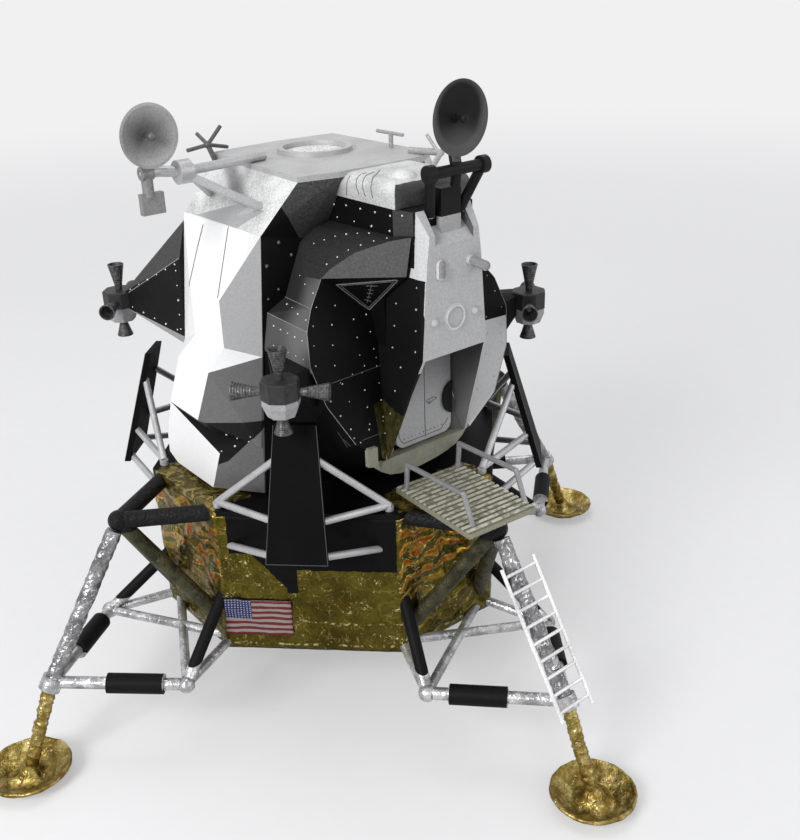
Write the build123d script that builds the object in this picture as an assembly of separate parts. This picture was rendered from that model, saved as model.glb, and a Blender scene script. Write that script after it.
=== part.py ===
from build123d import *
from itertools import combinations
from math import atan2, cos, hypot, radians, sin
import os

os.makedirs("parts", exist_ok=True)

# Scale model (1:72) of a two-stage lunar lander, in millimetres.
# Origin on the ground at the centre of the four footpads. +Z up, -Y front (ladder, platform
# and hatch), -X starboard.

# Lower stage
stage_face = 29.4           # centre to each face that carries a leg
stage_half = 9.55           # half-width of such a face
stage_bottom = 14.1
deck_top = 39.05
deck_thick = 0.9
bell_mouth_z = 6.4
bell_mouth_radius = 9.6
bell_throat_radius = 4.2
bell_wall = 0.8

# Legs, in the plane of each leg: reach from the centre, height above the ground
tip_reach = 40.3            # outrigger tip, where the strut starts
tip_z = 37.7
sleeve_reach = 55.3         # lower end of the strut's sleeve
sleeve_z = 14.3
sleeve_dia = 2.4
piston_dia = 2.0
pad_reach = 60.75
pad_radius = 6.44
pad_foot_radius = 3.6
pad_height = 2.3
pad_wall = 0.55
outrigger_dia = 2.6
brace_dia = 2.3
knee_reach = 39.1           # joint of the side struts and the truss
knee_half = 13.1
knee_z = 14.0
side_strut_dia = 1.9
shock_dia = 3.1             # black sleeve on each side strut
shock_length = 8.6
shock_start = 3.4
truss_dia = 1.5
lock_dia = 1.9
lock_top_z = 24.5
knee_ball_dia = 2.7
collar_length = 1.8         # collar of the side struts, on the sleeve's end
collar_wall = 0.45
collar_lip = 0.3            # past the sleeve's end

# Platform, handrails and ladder on the front leg
platform_half = 6.2
platform_front = 42.6
platform_back = 25.0
platform_top = 40.4
platform_thick = 0.8
platform_turn = -4.0        # degrees, the front towards starboard
platform_shift = -0.5
ridge_count = 16
ridge_height = 0.25
rail_dia = 0.8
rail_half = 5.3
rail_rise = 4.4
rail_bend_front = 38.8
rail_bend_back = 26.5
rail_foot_front = 40.8
rail_foot_back = 26.2
ladder_half = 3.2
ladder_from = 0.195         # share of the sleeve's length where the ladder starts
ladder_to = 1.035
ladder_rungs = 9
ladder_rail_dia = 0.6
ladder_rung_dia = 0.5

# Plume deflectors, on the four diagonals
plate_top_reach = 30.2
plate_top_z = 54.8
plate_top_width = 6.1
plate_bottom_reach = 36.0
plate_bottom_z = 35.3
plate_bottom_width = 9.05
plate_thick = 1.0
stay_dia = 1.1
stay_insets = {-1: 0.4, 1: 1.6}   # from the deck's corners, left and right

# Thruster clusters
quad_flat = 2.55            # centre to each flat of the block
quad_top = 1.8              # above the level nozzles' axis
quad_waist = 0.9            # below the axis, where the block starts to taper
quad_bottom = 3.4           # below the axis
nozzle_reach = 7.6          # centre to the mouths of the level nozzles
nozzle_rise = 6.2           # centre to the mouths of the upright nozzles
nozzle_mouth_radius = 1.3
nozzle_throat_radius = 0.55
nozzle_wall = 0.25
nozzle_depth = 1.5
nozzle_ribs = 3
rib_height = 0.13
rib_width = 0.35

# Upper stage
roof_z = 87.2
port_bulge = 3.5            # how much further out the port bay stands
roof_thick = 0.8
shoulder_z = 79.0
stage_gap = 0.3             # upper stage to the deck
wall_front = 10.5           # front wall of the midsection, ahead of the centre
wall_back = 10.5
block_half = 6.6            # block between the midsection and the front panel
block_z = 83.6
block_front = 27.3
fairing_z = 87.0
fairing_round = 1.7
panel_front = 31.5          # front panel, ahead of the centre
panel_sill_z = 62.9
panel_half = 6.1
panel_top_half = 5.0
panel_bevel_z = 78.8
hatch_front = 24.4
hatch_thick = 1.0
hatch_half = 5.5
sill_half = 8.2
sill_front = 25.2
sill_z = 46.1
sill_thick = 1.6
badge_radius = 1.75         # raised ring on the front panel
badge_z = 68.1
badge_width = 0.22
badge_height = 0.25
knob_radius = 0.6
lamp_z = 75.4
lamp_dia = 1.4
lamp_length = 3.0
ring_radius = 5.75
ring_wall = 0.85
ring_height = 0.7

# Antennas
arm_root_dia = 1.35
arm_dia = 1.5
arm_strut_dia = 1.2
arm_z = 88.4
arm_y = -2.0
drum_x = -24.3              # middle of the drum on the arm
drum_ahead = 0.9
drum_below = 0.4
drum_dia = 3.3
drum_length = 2.0
dish_radius = 4.25
dish_depth = 1.4
dish_wall = 0.4
dish_rise = 5.2
dish_place = 29.4
dish_ahead = 2.4            # rim's centre in front of the stem
stem_dia = 1.6
weight_width = 3.4
weight_height = 2.9
weight_inboard = 0.35
weight_thick = 1.0
weight_top = 2.7            # top of the weight, below the arm's axis
radar_z = 88.5
radar_y = -31.6
radar_x = 0.35
radar_radius = 4.87
radar_rise = 6.6
radar_ahead = 0.85
radar_half = 4.1            # half-length of the sleeve that turns on the shaft
sleeve_wall = 0.35
cap_dia = 2.4
cap_length = 1.1
yoke_foot_starboard = -2.3
yoke_foot_port = 3.1
yoke_dia = 1.4
pin_dia = 0.7
boss_dia = 1.9
boss_length = 1.7
running_gap = 0.08

nodes = {}


def hull(points):
    """Smallest convex solid that holds all the points."""
    rims = {}
    for a, b, c in combinations(points, 3):
        u = [q - p for p, q in zip(a, b)]
        v = [q - p for p, q in zip(a, c)]
        normal = (u[1] * v[2] - u[2] * v[1], u[2] * v[0] - u[0] * v[2], u[0] * v[1] - u[1] * v[0])
        size = hypot(*normal)
        if size < 1e-4:
            continue
        level = sum(n * p for n, p in zip(normal, a))
        heights = [(sum(n * p for n, p in zip(normal, point)) - level) / size for point in points]
        if max(heights) > 1e-5 and min(heights) < -1e-5:
            continue
        rim = tuple(i for i, height in enumerate(heights) if abs(height) < 1e-5)
        rims[rim] = Vector(*normal) * (-1 if max(heights) > 1e-5 else 1)
    faces = []
    for rim, normal in rims.items():
        # A true corner lies on three faces or more
        corners = [Vector(*points[i]) for i in rim if sum(i in other for other in rims) > 2]
        middle = sum(corners, Vector()) / len(corners)
        across = corners[0] - middle
        along = normal.normalized().cross(across)
        corners.sort(key=lambda corner: atan2((corner - middle).dot(along), (corner - middle).dot(across)))
        faces.append(Face(Wire.make_polygon(corners, close=True)))
    return Part(Solid(Shell(faces)).wrapped)


def both_sides(points):
    """The points and their mirror images across the centre plane."""
    return list(points) + [(-x, y, z) for x, y, z in points]


def tube(start, end, dia):
    """Round bar between two points."""
    run = Vector(*end) - Vector(*start)
    bar = Cylinder(dia / 2, run.length, align=(Align.CENTER, Align.CENTER, Align.MIN))
    return Plane(origin=start, z_dir=run) * bar


def bent_tube(points, dia):
    """Round bar through the points, with a ball at each bend."""
    bar = tube(points[0], points[1], dia)
    for start, end in zip(points[1:], points[2:]):
        bar += Pos(*start) * Sphere(dia / 2)
        bar += tube(start, end, dia)
    return bar


def between(start, end, share):
    """Point on the line from start to end."""
    return tuple(a + (b - a) * share for a, b in zip(start, end))


def box(x_from, x_to, y_from, y_to, z_from, z_to):
    """Block between six planes."""
    block = Box(x_to - x_from, y_to - y_from, z_to - z_from, align=Align.MIN)
    return Pos(x_from, y_from, z_from) * block


def octagon(z_from, z_to, inset=0.0):
    """Slab of the lower stage's outline."""
    face = stage_face - inset
    half = stage_half - inset * 0.414
    outline = []
    for turn in range(4):
        for side in (-half, half):
            spin = Rot(0, 0, 90 * turn) * Pos(face, side, 0)
            outline.append((spin.position.X, spin.position.Y))
    slab = extrude(make_face(Polyline(*outline, close=True)), z_to - z_from)
    return Pos(0, 0, z_from) * slab


# Lower stage
deck_bottom = deck_top - deck_thick
body = octagon(stage_bottom, deck_bottom)
deck = octagon(deck_bottom, deck_top)
nodes["descent_body"] = body
nodes["descent_deck"] = deck


def engine_bell():
    """Round skirt under the lower stage, open below."""
    top = stage_bottom
    outside = Spline((bell_throat_radius, top), (bell_mouth_radius, bell_mouth_z), tangents=((0.35, -1), (0.75, -1)))
    rim = Line(outside @ 1, (bell_mouth_radius - bell_wall, bell_mouth_z))
    inside_top = top - 2 * bell_wall
    inside = Spline(
        rim @ 1,
        (bell_throat_radius - bell_wall * 0.7, inside_top),
        tangents=((-0.75, 1), (-0.35, 1)),
    )
    ceiling = Polyline(inside @ 1, (0, inside_top), (0, top), outside @ 0)
    profile = make_face(Plane.XZ * (outside + rim + inside + ceiling))
    return revolve(profile, Axis.Z)


nodes["engine_bell"] = engine_bell()


# Legs: built along +X, then turned to each side
leg_turns = {"front": -90, "starboard": 180, "aft": 90, "port": 0}
tip = (tip_reach, 0, tip_z)
sleeve_end = (sleeve_reach, 0, sleeve_z)
pad_centre_z = pad_height * 0.6
pad_joint = (pad_reach, 0, pad_centre_z)


def outrigger():
    """Two black tubes and two olive braces, from the stage's corners to the tip."""
    frame = Pos(*tip) * Sphere(outrigger_dia * 0.62)
    for side in (-1, 1):
        edge = side * (stage_half - 1.2)
        frame += tube((stage_face - 2, edge, deck_top - outrigger_dia / 2), tip, outrigger_dia)
        frame += tube((stage_face - 2, edge, stage_bottom + 1.6), tip, brace_dia)
    return frame - body - deck


def primary_strut():
    """Sleeve that the leg's load runs through."""
    return tube(tip, sleeve_end, sleeve_dia)


def footpad():
    """Shallow dish with a foot ring, a socket and the piston that leads up from it."""
    outline = [
        (0, 0),
        (pad_foot_radius, 0),
        (pad_radius, pad_height - pad_wall),
        (pad_radius, pad_height),
        (pad_foot_radius - 0.4, pad_wall),
        (0, pad_wall),
    ]
    dish = revolve(make_face(Plane.XZ * Polyline(*outline, close=True)), Axis.Z)
    dish = Pos(pad_reach, 0, 0) * dish
    socket = Pos(pad_reach, 0, 0) * Cone(1.7, 1.2, pad_height, align=(Align.CENTER, Align.CENTER, Align.MIN))
    return dish + socket + tube(pad_joint, sleeve_end, piston_dia)


def side_frame():
    """Collar on the sleeve, side struts with black sleeves, crossing truss and lock struts."""
    run = hypot(sleeve_reach - tip_reach, tip_z - sleeve_z)
    collar_from = between(sleeve_end, tip, collar_length / run)
    collar_middle = between(sleeve_end, tip, collar_length / 2 / run)
    collar_to = between(sleeve_end, tip, -collar_lip / run)
    frame = tube(collar_from, collar_to, sleeve_dia + 2 * collar_wall)
    for side in (-1, 1):
        knee = (knee_reach, side * knee_half, knee_z)
        near = (stage_face - 1.5, side * (stage_half - 0.9), stage_bottom + 1.0)
        far = (stage_face - 1.5, -side * (stage_half - 0.9), stage_bottom + 1.0)
        lock = (stage_face - 1.5, side * (stage_half - 1.4), lock_top_z)
        reach = hypot(*[b - a for a, b in zip(knee, collar_middle)])
        shock_from = between(knee, collar_middle, shock_start / reach)
        shock_to = between(knee, collar_middle, (shock_start + shock_length) / reach)
        frame += tube(knee, collar_middle, side_strut_dia)
        frame += tube(shock_from, shock_to, shock_dia)
        frame += tube(knee, near, truss_dia)
        frame += tube(knee, far, truss_dia)
        frame += tube(knee, lock, lock_dia)
        frame += Pos(*knee) * Sphere(knee_ball_dia / 2)
    return frame - body


outrigger_shape = outrigger()
strut_shape = primary_strut() - outrigger_shape
frame_shape = side_frame() - strut_shape
pad_shape = footpad() - strut_shape - frame_shape
for leg, turn in leg_turns.items():
    spin = Rot(0, 0, turn)
    nodes["outrigger_" + leg] = spin * outrigger_shape
    nodes["primary_strut_" + leg] = spin * strut_shape
    nodes["side_frame_" + leg] = spin * frame_shape
    nodes["footpad_" + leg] = spin * pad_shape


def platform():
    """Ridged plate over the front outrigger."""
    bottom = platform_top - platform_thick
    plate = box(-platform_half, platform_half, -platform_front, -platform_back, bottom, platform_top)
    pitch = (platform_front - platform_back) / ridge_count
    for i in range(ridge_count):
        y = -platform_front + pitch * (i + 0.5)
        width = pitch * 0.5
        plate += box(
            -platform_half, platform_half, y - width / 2, y + width / 2, platform_top, platform_top + ridge_height
        )
    return plate


def handrails():
    """Two bent rails, one on each side of the platform."""
    rails = Part()
    foot_z = platform_top - 0.2
    for side in (-1, 1):
        x = side * rail_half
        rails += bent_tube(
            [
                (x, -rail_foot_front, foot_z),
                (x, -rail_bend_front, platform_top + rail_rise),
                (x, -rail_bend_back, platform_top + rail_rise),
                (x, -rail_foot_back, foot_z),
            ],
            rail_dia,
        )
    return rails


platform_middle = -(platform_front + platform_back) / 2
platform_place = Pos(platform_shift, platform_middle, 0) * Rot(0, 0, platform_turn) * Pos(0, -platform_middle, 0)
platform_shape = platform_place * platform()
platform_shape -= nodes["outrigger_front"]
rails_shape = handrails() - platform_shape
nodes["platform"] = platform_shape
nodes["platform_rails"] = rails_shape


def ladder():
    """Two rails and round rungs, in front of the front strut."""
    lean = Vector(*sleeve_end) - Vector(*tip)
    out = Vector(-lean.Z, 0, lean.X).normalized()
    offset = out * (sleeve_dia / 2 + ladder_rung_dia / 2 + 0.05)
    top = Vector(*tip) + lean * ladder_from + offset
    bottom = Vector(*tip) + lean * ladder_to + offset
    frame = Part()
    for side in (-1, 1):
        y = Vector(0, side * ladder_half, 0)
        frame += tube(tuple(top + y), tuple(bottom + y), ladder_rail_dia)
    for i in range(ladder_rungs):
        middle = top + (bottom - top) * ((i + 0.5) / ladder_rungs)
        y = Vector(0, ladder_half, 0)
        frame += tube(tuple(middle - y), tuple(middle + y), ladder_rung_dia)
    return Rot(0, 0, leg_turns["front"]) * frame - nodes["side_frame_front"]


nodes["ladder"] = ladder()


# Plume deflectors: built along +X, then turned to the four diagonals
diagonal_turns = {"port_aft": 45, "starboard_aft": 135, "starboard_front": 225, "port_front": 315}
corner_reach = (stage_face + stage_half) * 0.7071
corner_half = (stage_face - stage_half) * 0.7071


def plate_point(z, side, back=0.0):
    """Point on the deflector's plate at height z, side as a share of its half-width."""
    share = (z - plate_bottom_z) / (plate_top_z - plate_bottom_z)
    reach = plate_bottom_reach + (plate_top_reach - plate_bottom_reach) * share
    half = (plate_bottom_width + (plate_top_width - plate_bottom_width) * share) / 2
    return (reach - back, side * half, z)


def deflector_plate():
    """Tapered plate that leans inwards at the top."""
    points = []
    for z in (plate_bottom_z, plate_top_z):
        for side in (-1, 1):
            points.append(plate_point(z, side))
            points.append(plate_point(z, side, plate_thick))
    return hull(points)


def deflector_stays():
    """Silver struts from the deck's corners and the stage's faces to the plate."""
    stays = Part()
    back = plate_thick * 0.7
    for side in (-1, 1):
        inset = stay_insets[side]
        seat = (corner_reach - 1.5, side * (corner_half - inset), deck_top)
        foot = (seat[0], seat[1], deck_top + 0.8)
        low_foot = (corner_reach - 1.0, side * (corner_half - inset - 0.7), plate_bottom_z - 2.6)
        stays += tube(seat, foot, stay_dia * 1.3)
        stays += tube(foot, plate_point(50.0, side * 0.75, back), stay_dia)
        stays += tube(foot, plate_point(41.0, side * 0.75, back), stay_dia)
        stays += tube(low_foot, plate_point(plate_bottom_z + 0.8, side * 0.75, back), stay_dia)
    return stays


plate_shape = deflector_plate()
stays_shape = deflector_stays() - plate_shape - Rot(0, 0, -45) * body
all_stays = Part()
for place, turn in diagonal_turns.items():
    spin = Rot(0, 0, turn)
    nodes["deflector_" + place] = spin * plate_shape
    all_stays += spin * stays_shape
nodes["deflector_stays"] = all_stays


# Upper stage
upper_bottom = deck_top + stage_gap


# Roof, clockwise from its front starboard corner: x and y
roof_outline = [
    (-13.4, -14.5),
    (-7.4, -16.0),
    (8.3, -16.0),
    (11.4, -13.7),
    (11.4, 10.9),
    (0.0, 11.9),
    (-11.5, 11.0),
]


def midsection():
    """Middle of the upper stage, under the roof."""
    under = roof_z - roof_thick
    roof = [(x, y, under) for x, y in roof_outline]
    shoulder = [(17.5, -wall_front, shoulder_z), (17.6, wall_back, shoulder_z)]
    upper = [(11.0, -wall_front, 77.5), (12.5, 14.0, shoulder_z)]
    base = [(20.6, -wall_front, upper_bottom), (20.6, wall_back, upper_bottom)]
    base += [(14.3, 14.0, upper_bottom)]
    return hull(roof + both_sides(shoulder + upper)) + hull(both_sides(shoulder + base + upper[1:]))


def roof_plate():
    """Flat plate on top."""
    plate = extrude(make_face(Polyline(*roof_outline, close=True)), roof_thick)
    return Pos(0, 0, roof_z - roof_thick) * plate


def docking_ring():
    """Raised lip on the roof round a recessed cover."""
    low = (Align.CENTER, Align.CENTER, Align.MIN)
    ring = Pos(0, 0, roof_z) * Cylinder(ring_radius, ring_height, align=low)
    ring -= Pos(0, 0, roof_z - 1) * Cylinder(ring_radius - ring_wall, ring_height + 2, align=low)
    return ring


# Rim of the cabin's front, port side, from the brow down to the sill: x, y and z
rim = [
    (12.9, -18.0, 73.5),
    (16.2, -19.8, 70.3),
    (18.0, -21.1, 67.7),
    (19.0, -22.8, 63.2),
    (17.7, -24.3, 57.4),
    (13.9, -25.5, 50.7),
    (sill_half + 0.3, -sill_front - 0.3, sill_z + 0.3),
]
# Crease between the cabin's front and the side of the front panel, from the top
crease = [
    (panel_half, -19.8, 67.6),
    (panel_half, -20.9, panel_sill_z),
    (7.0, -22.6, 54.0),
    (sill_half - 0.4, -23.6, 47.5),
]
# Top edge of the brow over the window, from the front panel outwards
brow = [
    (5.9, -29.4, 80.1),
    (7.6, -27.0, 79.5),
    (9.1, -24.5, 78.5),
    (10.3, -22.6, 77.6),
    (11.4, -20.7, 76.1),
    (12.2, -19.3, 75.0),
]
# Line where the cabin meets the midsection's front wall, from the top round to the bottom
root = [
    (5.9, -wall_front, 79.7),
    (8.8, -wall_front, 79.0),
    (11.0, -wall_front, 76.8),
    (14.2, -wall_front, 69.4),
    (17.5, -wall_front, 67.8),
    (18.4, -wall_front, 63.0),
    (19.0, -wall_front, 56.0),
    (16.0, -wall_front, 44.0),
    (14.0, -wall_front, upper_bottom),
]
hatch_back = hatch_thick - hatch_front


def cabin_side(side):
    """Faceted side of the cabin: a shallow upper facet and the full lower barrel."""
    middle_top = [(0, crease[0][1], crease[0][2]), (0, -wall_front, root[2][2])]
    upper = rim[:2] + crease[:1] + root[2:4] + middle_top
    floor = [(9.0, -20.0, upper_bottom + 3), (0, -20.0, upper_bottom + 3)]
    middle = [(0, crease[0][1], crease[0][2]), (0, -wall_front, root[3][2]), (0, -wall_front, upper_bottom)]
    lower = rim[1:] + crease + root[3:] + floor + middle
    barrel = hull([(side * x, y, z) for x, y, z in upper])
    return barrel + hull([(side * x, y, z) for x, y, z in lower])


def cabin():
    """Crew cabin: two sides, the brows over the windows and the block under the fairing."""
    shell = cabin_side(-1) + cabin_side(1)
    lintel = [(panel_half, -28.4, 74.5), rim[0], crease[0]]
    shell += hull(both_sides(brow + lintel + root[:4]))
    shell += box(-panel_half, panel_half, hatch_back, -wall_front, sill_z - sill_thick, 76.0)
    block = []
    for z in (76.0, block_z):
        block += [(block_half, -wall_front, z), (block_half, -26.5, z), (5.4, -29.3, z - 0.3)]
    return shell + hull(both_sides(block))


def front_panel():
    """Panel that stands out over the hatch, with the two cheeks beside the hatch."""
    back = -wall_front - 9.0
    top = block_z - 0.3
    upper = [(panel_half, -panel_front, panel_sill_z), (panel_half, back, panel_sill_z)]
    upper += [(panel_top_half, -panel_front, 76.5), (4.5, -panel_front, 80.2)]
    upper += [(panel_top_half, -29.3, top), (panel_top_half, back, top)]
    panel = hull(both_sides(upper))
    slope = [(y, panel_bevel_z + (panel_front + y) * 0.97) for y in (-panel_front - 1.0, -28.2)]
    ramp = [(3.5, y, z + rise) for y, z in slope for rise in (0, 6.0)]
    panel -= hull(both_sides(ramp))
    cheek = (
        (panel_half, -panel_front, panel_sill_z),
        (6.9, -29.4, 57.5),
        (7.5, -27.2, 51.5),
        (sill_half, -sill_front, sill_z),
    )
    for side in (-1, 1):
        for upper_row, lower_row in zip(cheek, cheek[1:]):
            points = []
            for half, y, z in (upper_row, lower_row):
                points += [(side * half, y, z), (side * (half - 0.5), y, z)]
                points += [(side * half, back, z), (side * (hatch_half + 0.3), back, z)]
            panel += hull(points)
    return panel


def panel_badge():
    """Raised ring, two knobs and two lamps on the front panel."""
    face = Plane(origin=(0, -panel_front, badge_z), x_dir=(1, 0, 0), z_dir=(0, -1, 0))
    ring = Cylinder(badge_radius, badge_height, align=(Align.CENTER, Align.CENTER, Align.MIN))
    ring -= Cylinder(badge_radius - badge_width, badge_height * 4)
    parts = face * ring
    for side in (-1, 1):
        parts += Pos(side * 3.8, -panel_front, badge_z) * Sphere(knob_radius)
    half = lamp_length / 2 - lamp_dia / 2
    upright = [(-2.7, -panel_front - 0.1, lamp_z + rise) for rise in (-half, half)]
    askew = [(2.8, -panel_front, lamp_z + 0.4), (4.3, -panel_front - 1.6, lamp_z - 0.5)]
    for start, end in (upright, askew):
        lamp = Pos(*start) * Sphere(lamp_dia / 2) + Pos(*end) * Sphere(lamp_dia / 2)
        parts += lamp + tube(start, end, lamp_dia)
    return parts


def hatch():
    """Square hatch with round corners and a small handle, moulded shut."""
    top = panel_sill_z - 0.4
    bottom = sill_z + 0.4
    plate = extrude(RectangleRounded(hatch_half * 2, top - bottom, 1.6), hatch_thick)
    place = Plane(origin=(0, hatch_back, (top + bottom) / 2), x_dir=(1, 0, 0), z_dir=(0, -1, 0))
    handle = tube((0.6, -hatch_front, 52.7), (2.0, -hatch_front, 52.9), 0.5)
    return place * plate + handle


def sill():
    """Ledge under the hatch."""
    low = sill_z - sill_thick
    front = [(sill_half, -sill_front, sill_z), (sill_half - 0.4, -sill_front + 0.6, low)]
    back = [(sill_half, hatch_back, sill_z), (sill_half - 0.4, hatch_back, low)]
    block = box(-sill_half - 3.1, -sill_half - 0.9, -sill_front, hatch_back, low, sill_z + 2.2)
    block += box(-sill_half - 0.9, -sill_half + 0.2, -sill_front, hatch_back, low, sill_z)
    return hull(both_sides(front + back)) + block


def tank_bay(side, bulge):
    """Faceted bay on one side: upper shoulder, middle bulge and lower box."""
    waist = [
        (22.0 + bulge, -4.9, 62.0),
        (22.0 + bulge, 3.5, 62.0),
        (19.0, -wall_front, 61.3),
        (20.3, wall_back, 59.0),
    ]
    upper = [
        (17.5, -wall_front, shoulder_z),
        (17.9, wall_back, shoulder_z),
        (16.5, -5.5, shoulder_z + 0.3),
        (22.0 + bulge, -4.9, 69.3),
        (22.0 + bulge, 3.5, 69.3),
    ]
    middle = [
        (26.0 + bulge, -6.7, 59.7),
        (24.0 + bulge, 6.1, 58.2),
        (27.5 + bulge, -4.6, 51.9),
        (27.5 + bulge, 3.7, 52.3),
        (20.1, -wall_front, 51.0),
        (20.6, wall_back, 51.0),
        (20.6, -wall_front, 47.0),
        (20.9, wall_back, 47.0),
        (23.0, -4.0, 47.0),
        (23.0, 6.0, 47.0),
    ]
    lower = [
        (26.0, -7.4, 46.8),
        (26.0, 6.8, 50.8),
        (26.0, 9.3, 44.4),
        (26.0, 9.5, 41.1),
        (26.0, 7.1, 39.9),
        (26.0, -4.1, 39.7),
        (20.1, -wall_front, 49.0),
        (20.9, wall_back, 49.0),
        (20.8, -wall_front, upper_bottom),
        (20.9, wall_back, upper_bottom),
    ]
    bay = Part()
    for rows in (upper + waist, waist + middle, lower):
        inner = [(12.0, y, z) for x, y, z in rows]
        bay += hull([(side * x, y, z) for x, y, z in rows + inner])
    return bay


def aft_bay():
    """Equipment bay behind the midsection."""
    near = [(13.0, wall_back, 76.0), (13.0, wall_back, 44.0)]
    far = [(9.8, 20.5, 73.0), (9.8, 20.5, 46.0), (9.8, 15.0, 78.0), (9.8, 13.0, 43.0)]
    return hull(both_sides(near + far))


def roof_fairing():
    """Rounded cover between the roof and the front panel."""
    half = block_half + 0.2
    cover = box(-half, half, -block_front, -13.0, block_z, fairing_z)
    tops = cover.edges().filter_by(Axis.Y).group_by(Axis.Z)[-1]
    fronts = cover.edges().filter_by(Axis.X).group_by(Axis.Z)[-1].sort_by(Axis.Y)[:1]
    lump = Pos(-2.4, -23.6, fairing_z - 1.1) * scale(Sphere(2.0), by=(1.2, 1.45, 1.0))
    return fillet(tops + fronts, fairing_round) + lump


mid_shape = midsection()
cabin_shape = cabin() - mid_shape
panel_shape = front_panel() - cabin_shape - mid_shape
panel_shape += panel_badge()
sill_shape = sill() - cabin_shape - panel_shape
hatch_shape = hatch() - panel_shape - cabin_shape - sill_shape
roof_shape = roof_plate()
fairing_shape = roof_fairing() - mid_shape - cabin_shape - roof_shape - panel_shape
ring_shape = docking_ring()
aft_shape = aft_bay() - mid_shape
starboard_bay = tank_bay(-1, 0.0) - mid_shape
port_bay = tank_bay(1, port_bulge) - mid_shape
nodes["midsection"] = mid_shape
nodes["cabin"] = cabin_shape
nodes["front_panel"] = panel_shape
nodes["hatch"] = hatch_shape
nodes["hatch_sill"] = sill_shape
nodes["roof_plate"] = roof_shape
nodes["roof_fairing"] = fairing_shape
nodes["docking_ring"] = ring_shape
nodes["aft_bay"] = aft_shape
nodes["tank_bay_starboard"] = starboard_bay
nodes["tank_bay_port"] = port_bay


def nozzle(start, mouth):
    """Small ribbed bell along +Z from the cluster's block, open at its mouth."""
    low = (Align.CENTER, Align.CENTER, Align.MIN)
    length = mouth - start
    flare = nozzle_mouth_radius - nozzle_throat_radius
    bell = Pos(0, 0, start) * Cone(nozzle_throat_radius, nozzle_mouth_radius, length, align=low)
    for i in range(nozzle_ribs):
        share = (i + 1) / (nozzle_ribs + 1)
        rib = Cylinder(nozzle_throat_radius + flare * share + rib_height, rib_width)
        bell += Pos(0, 0, start + length * share) * rib
    hollow = Cone(nozzle_mouth_radius * 0.55, nozzle_mouth_radius - nozzle_wall, nozzle_depth, align=low)
    return bell - Pos(0, 0, mouth - nozzle_depth) * hollow


def thruster_cluster():
    """Eight-sided block with a tapered chin and four nozzles: up, down, +X and +Y."""
    outline = RegularPolygon(quad_flat, 8, major_radius=False, rotation=22.5)
    block = Pos(0, 0, -quad_waist) * extrude(outline, quad_waist + quad_top)
    chin_height = quad_bottom - quad_waist
    chin = extrude(outline, chin_height, taper=14)
    block += Pos(0, 0, -quad_waist) * Rot(180, 0, 0) * chin
    level = nozzle(quad_flat - 0.2, nozzle_reach)
    block += nozzle(quad_top - 0.2, nozzle_rise)
    block += Rot(180, 0, 0) * nozzle(quad_bottom - 0.2, nozzle_rise)
    return block + Rot(0, 90, 0) * level + Rot(-90, 0, 0) * level


# Thruster clusters: side along X, side along Y, turn in degrees, centre x, y and z
cluster_places = {
    "port_aft": (1, 1, 0, 24.2, 24.2, 63.2),
    "starboard_aft": (-1, 1, 90, 24.2, 24.2, 63.2),
    "starboard_front": (-1, -1, 180, 24.6, 23.6, 61.6),
    "port_front": (1, -1, 270, 23.6, 23.3, 63.0),
}


def cluster_boom(place):
    """Dark fairing that carries one cluster, from the bay or the cabin to the block."""
    x_side, y_side, _, x, y, z = cluster_places[place]
    inward = quad_flat * 0.35
    points = []
    for across in (-0.9, 0.9):
        for rise in (-quad_waist, quad_top - 0.1):
            points.append((x - inward + across, y - inward - across, z + rise))
    if y_side > 0:
        points += [(18.1, wall_back, 77.8), (19.6, wall_back, 72.0), (20.2, wall_back, 59.2)]
        points += [(19.6, wall_back, 57.4), (9.0, wall_back, 77.5), (9.0, wall_back, 58.0)]
        points += [(9.0, 14.0, 70.0), (9.0, 14.0, 60.0)]
    else:
        points += [(18.4, 11.0, 62.8), (18.9, 22.4, 62.9), (18.9, 12.5, 54.5), (17.6, 22.0, 56.5)]
        points += [(14.0, 11.5, 61.5), (14.0, 21.0, 61.5), (14.0, 12.5, 55.5), (14.0, 21.0, 57.0)]
    return hull([(x_side * px, y_side * py, pz) for px, py, pz in points])


cluster = thruster_cluster()
upper_solids = mid_shape + cabin_shape + aft_shape + starboard_bay + port_bay
for place, (x_side, y_side, turn, x, y, z) in cluster_places.items():
    cluster_shape = Pos(x_side * x, y_side * y, z) * Rot(0, 0, turn) * cluster
    nodes["thrusters_" + place] = cluster_shape
    nodes["boom_" + place] = cluster_boom(place) - upper_solids - cluster_shape


def dish(radius, depth, wall):
    """Shallow bowl that opens towards +Z, its rim's centre at the origin."""
    outside = ThreePointArc((0, -depth), (radius * 0.56, -depth * 0.69), (radius, 0))
    rim = Line(outside @ 1, (radius - wall, 0))
    inside = ThreePointArc(rim @ 1, (radius * 0.54, -depth * 0.69 + wall), (0, -depth + wall))
    middle = Line(inside @ 1, outside @ 0)
    bowl = revolve(make_face(Plane.XZ * (outside + rim + inside + middle)), Axis.Z)
    feed = Pos(0, 0, -depth) * Cylinder(0.3, depth + 0.6, align=(Align.CENTER, Align.CENTER, Align.MIN))
    return bowl + feed + Pos(0, 0, 0.6) * Sphere(0.6)


def facing(centre, azimuth, elevation):
    """Plane whose Z looks out along the azimuth (0 is front) and elevation, in degrees."""
    level = cos(radians(elevation))
    look = (sin(radians(azimuth)) * level, -cos(radians(azimuth)) * level, sin(radians(elevation)))
    return Plane(origin=centre, z_dir=look)


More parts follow.
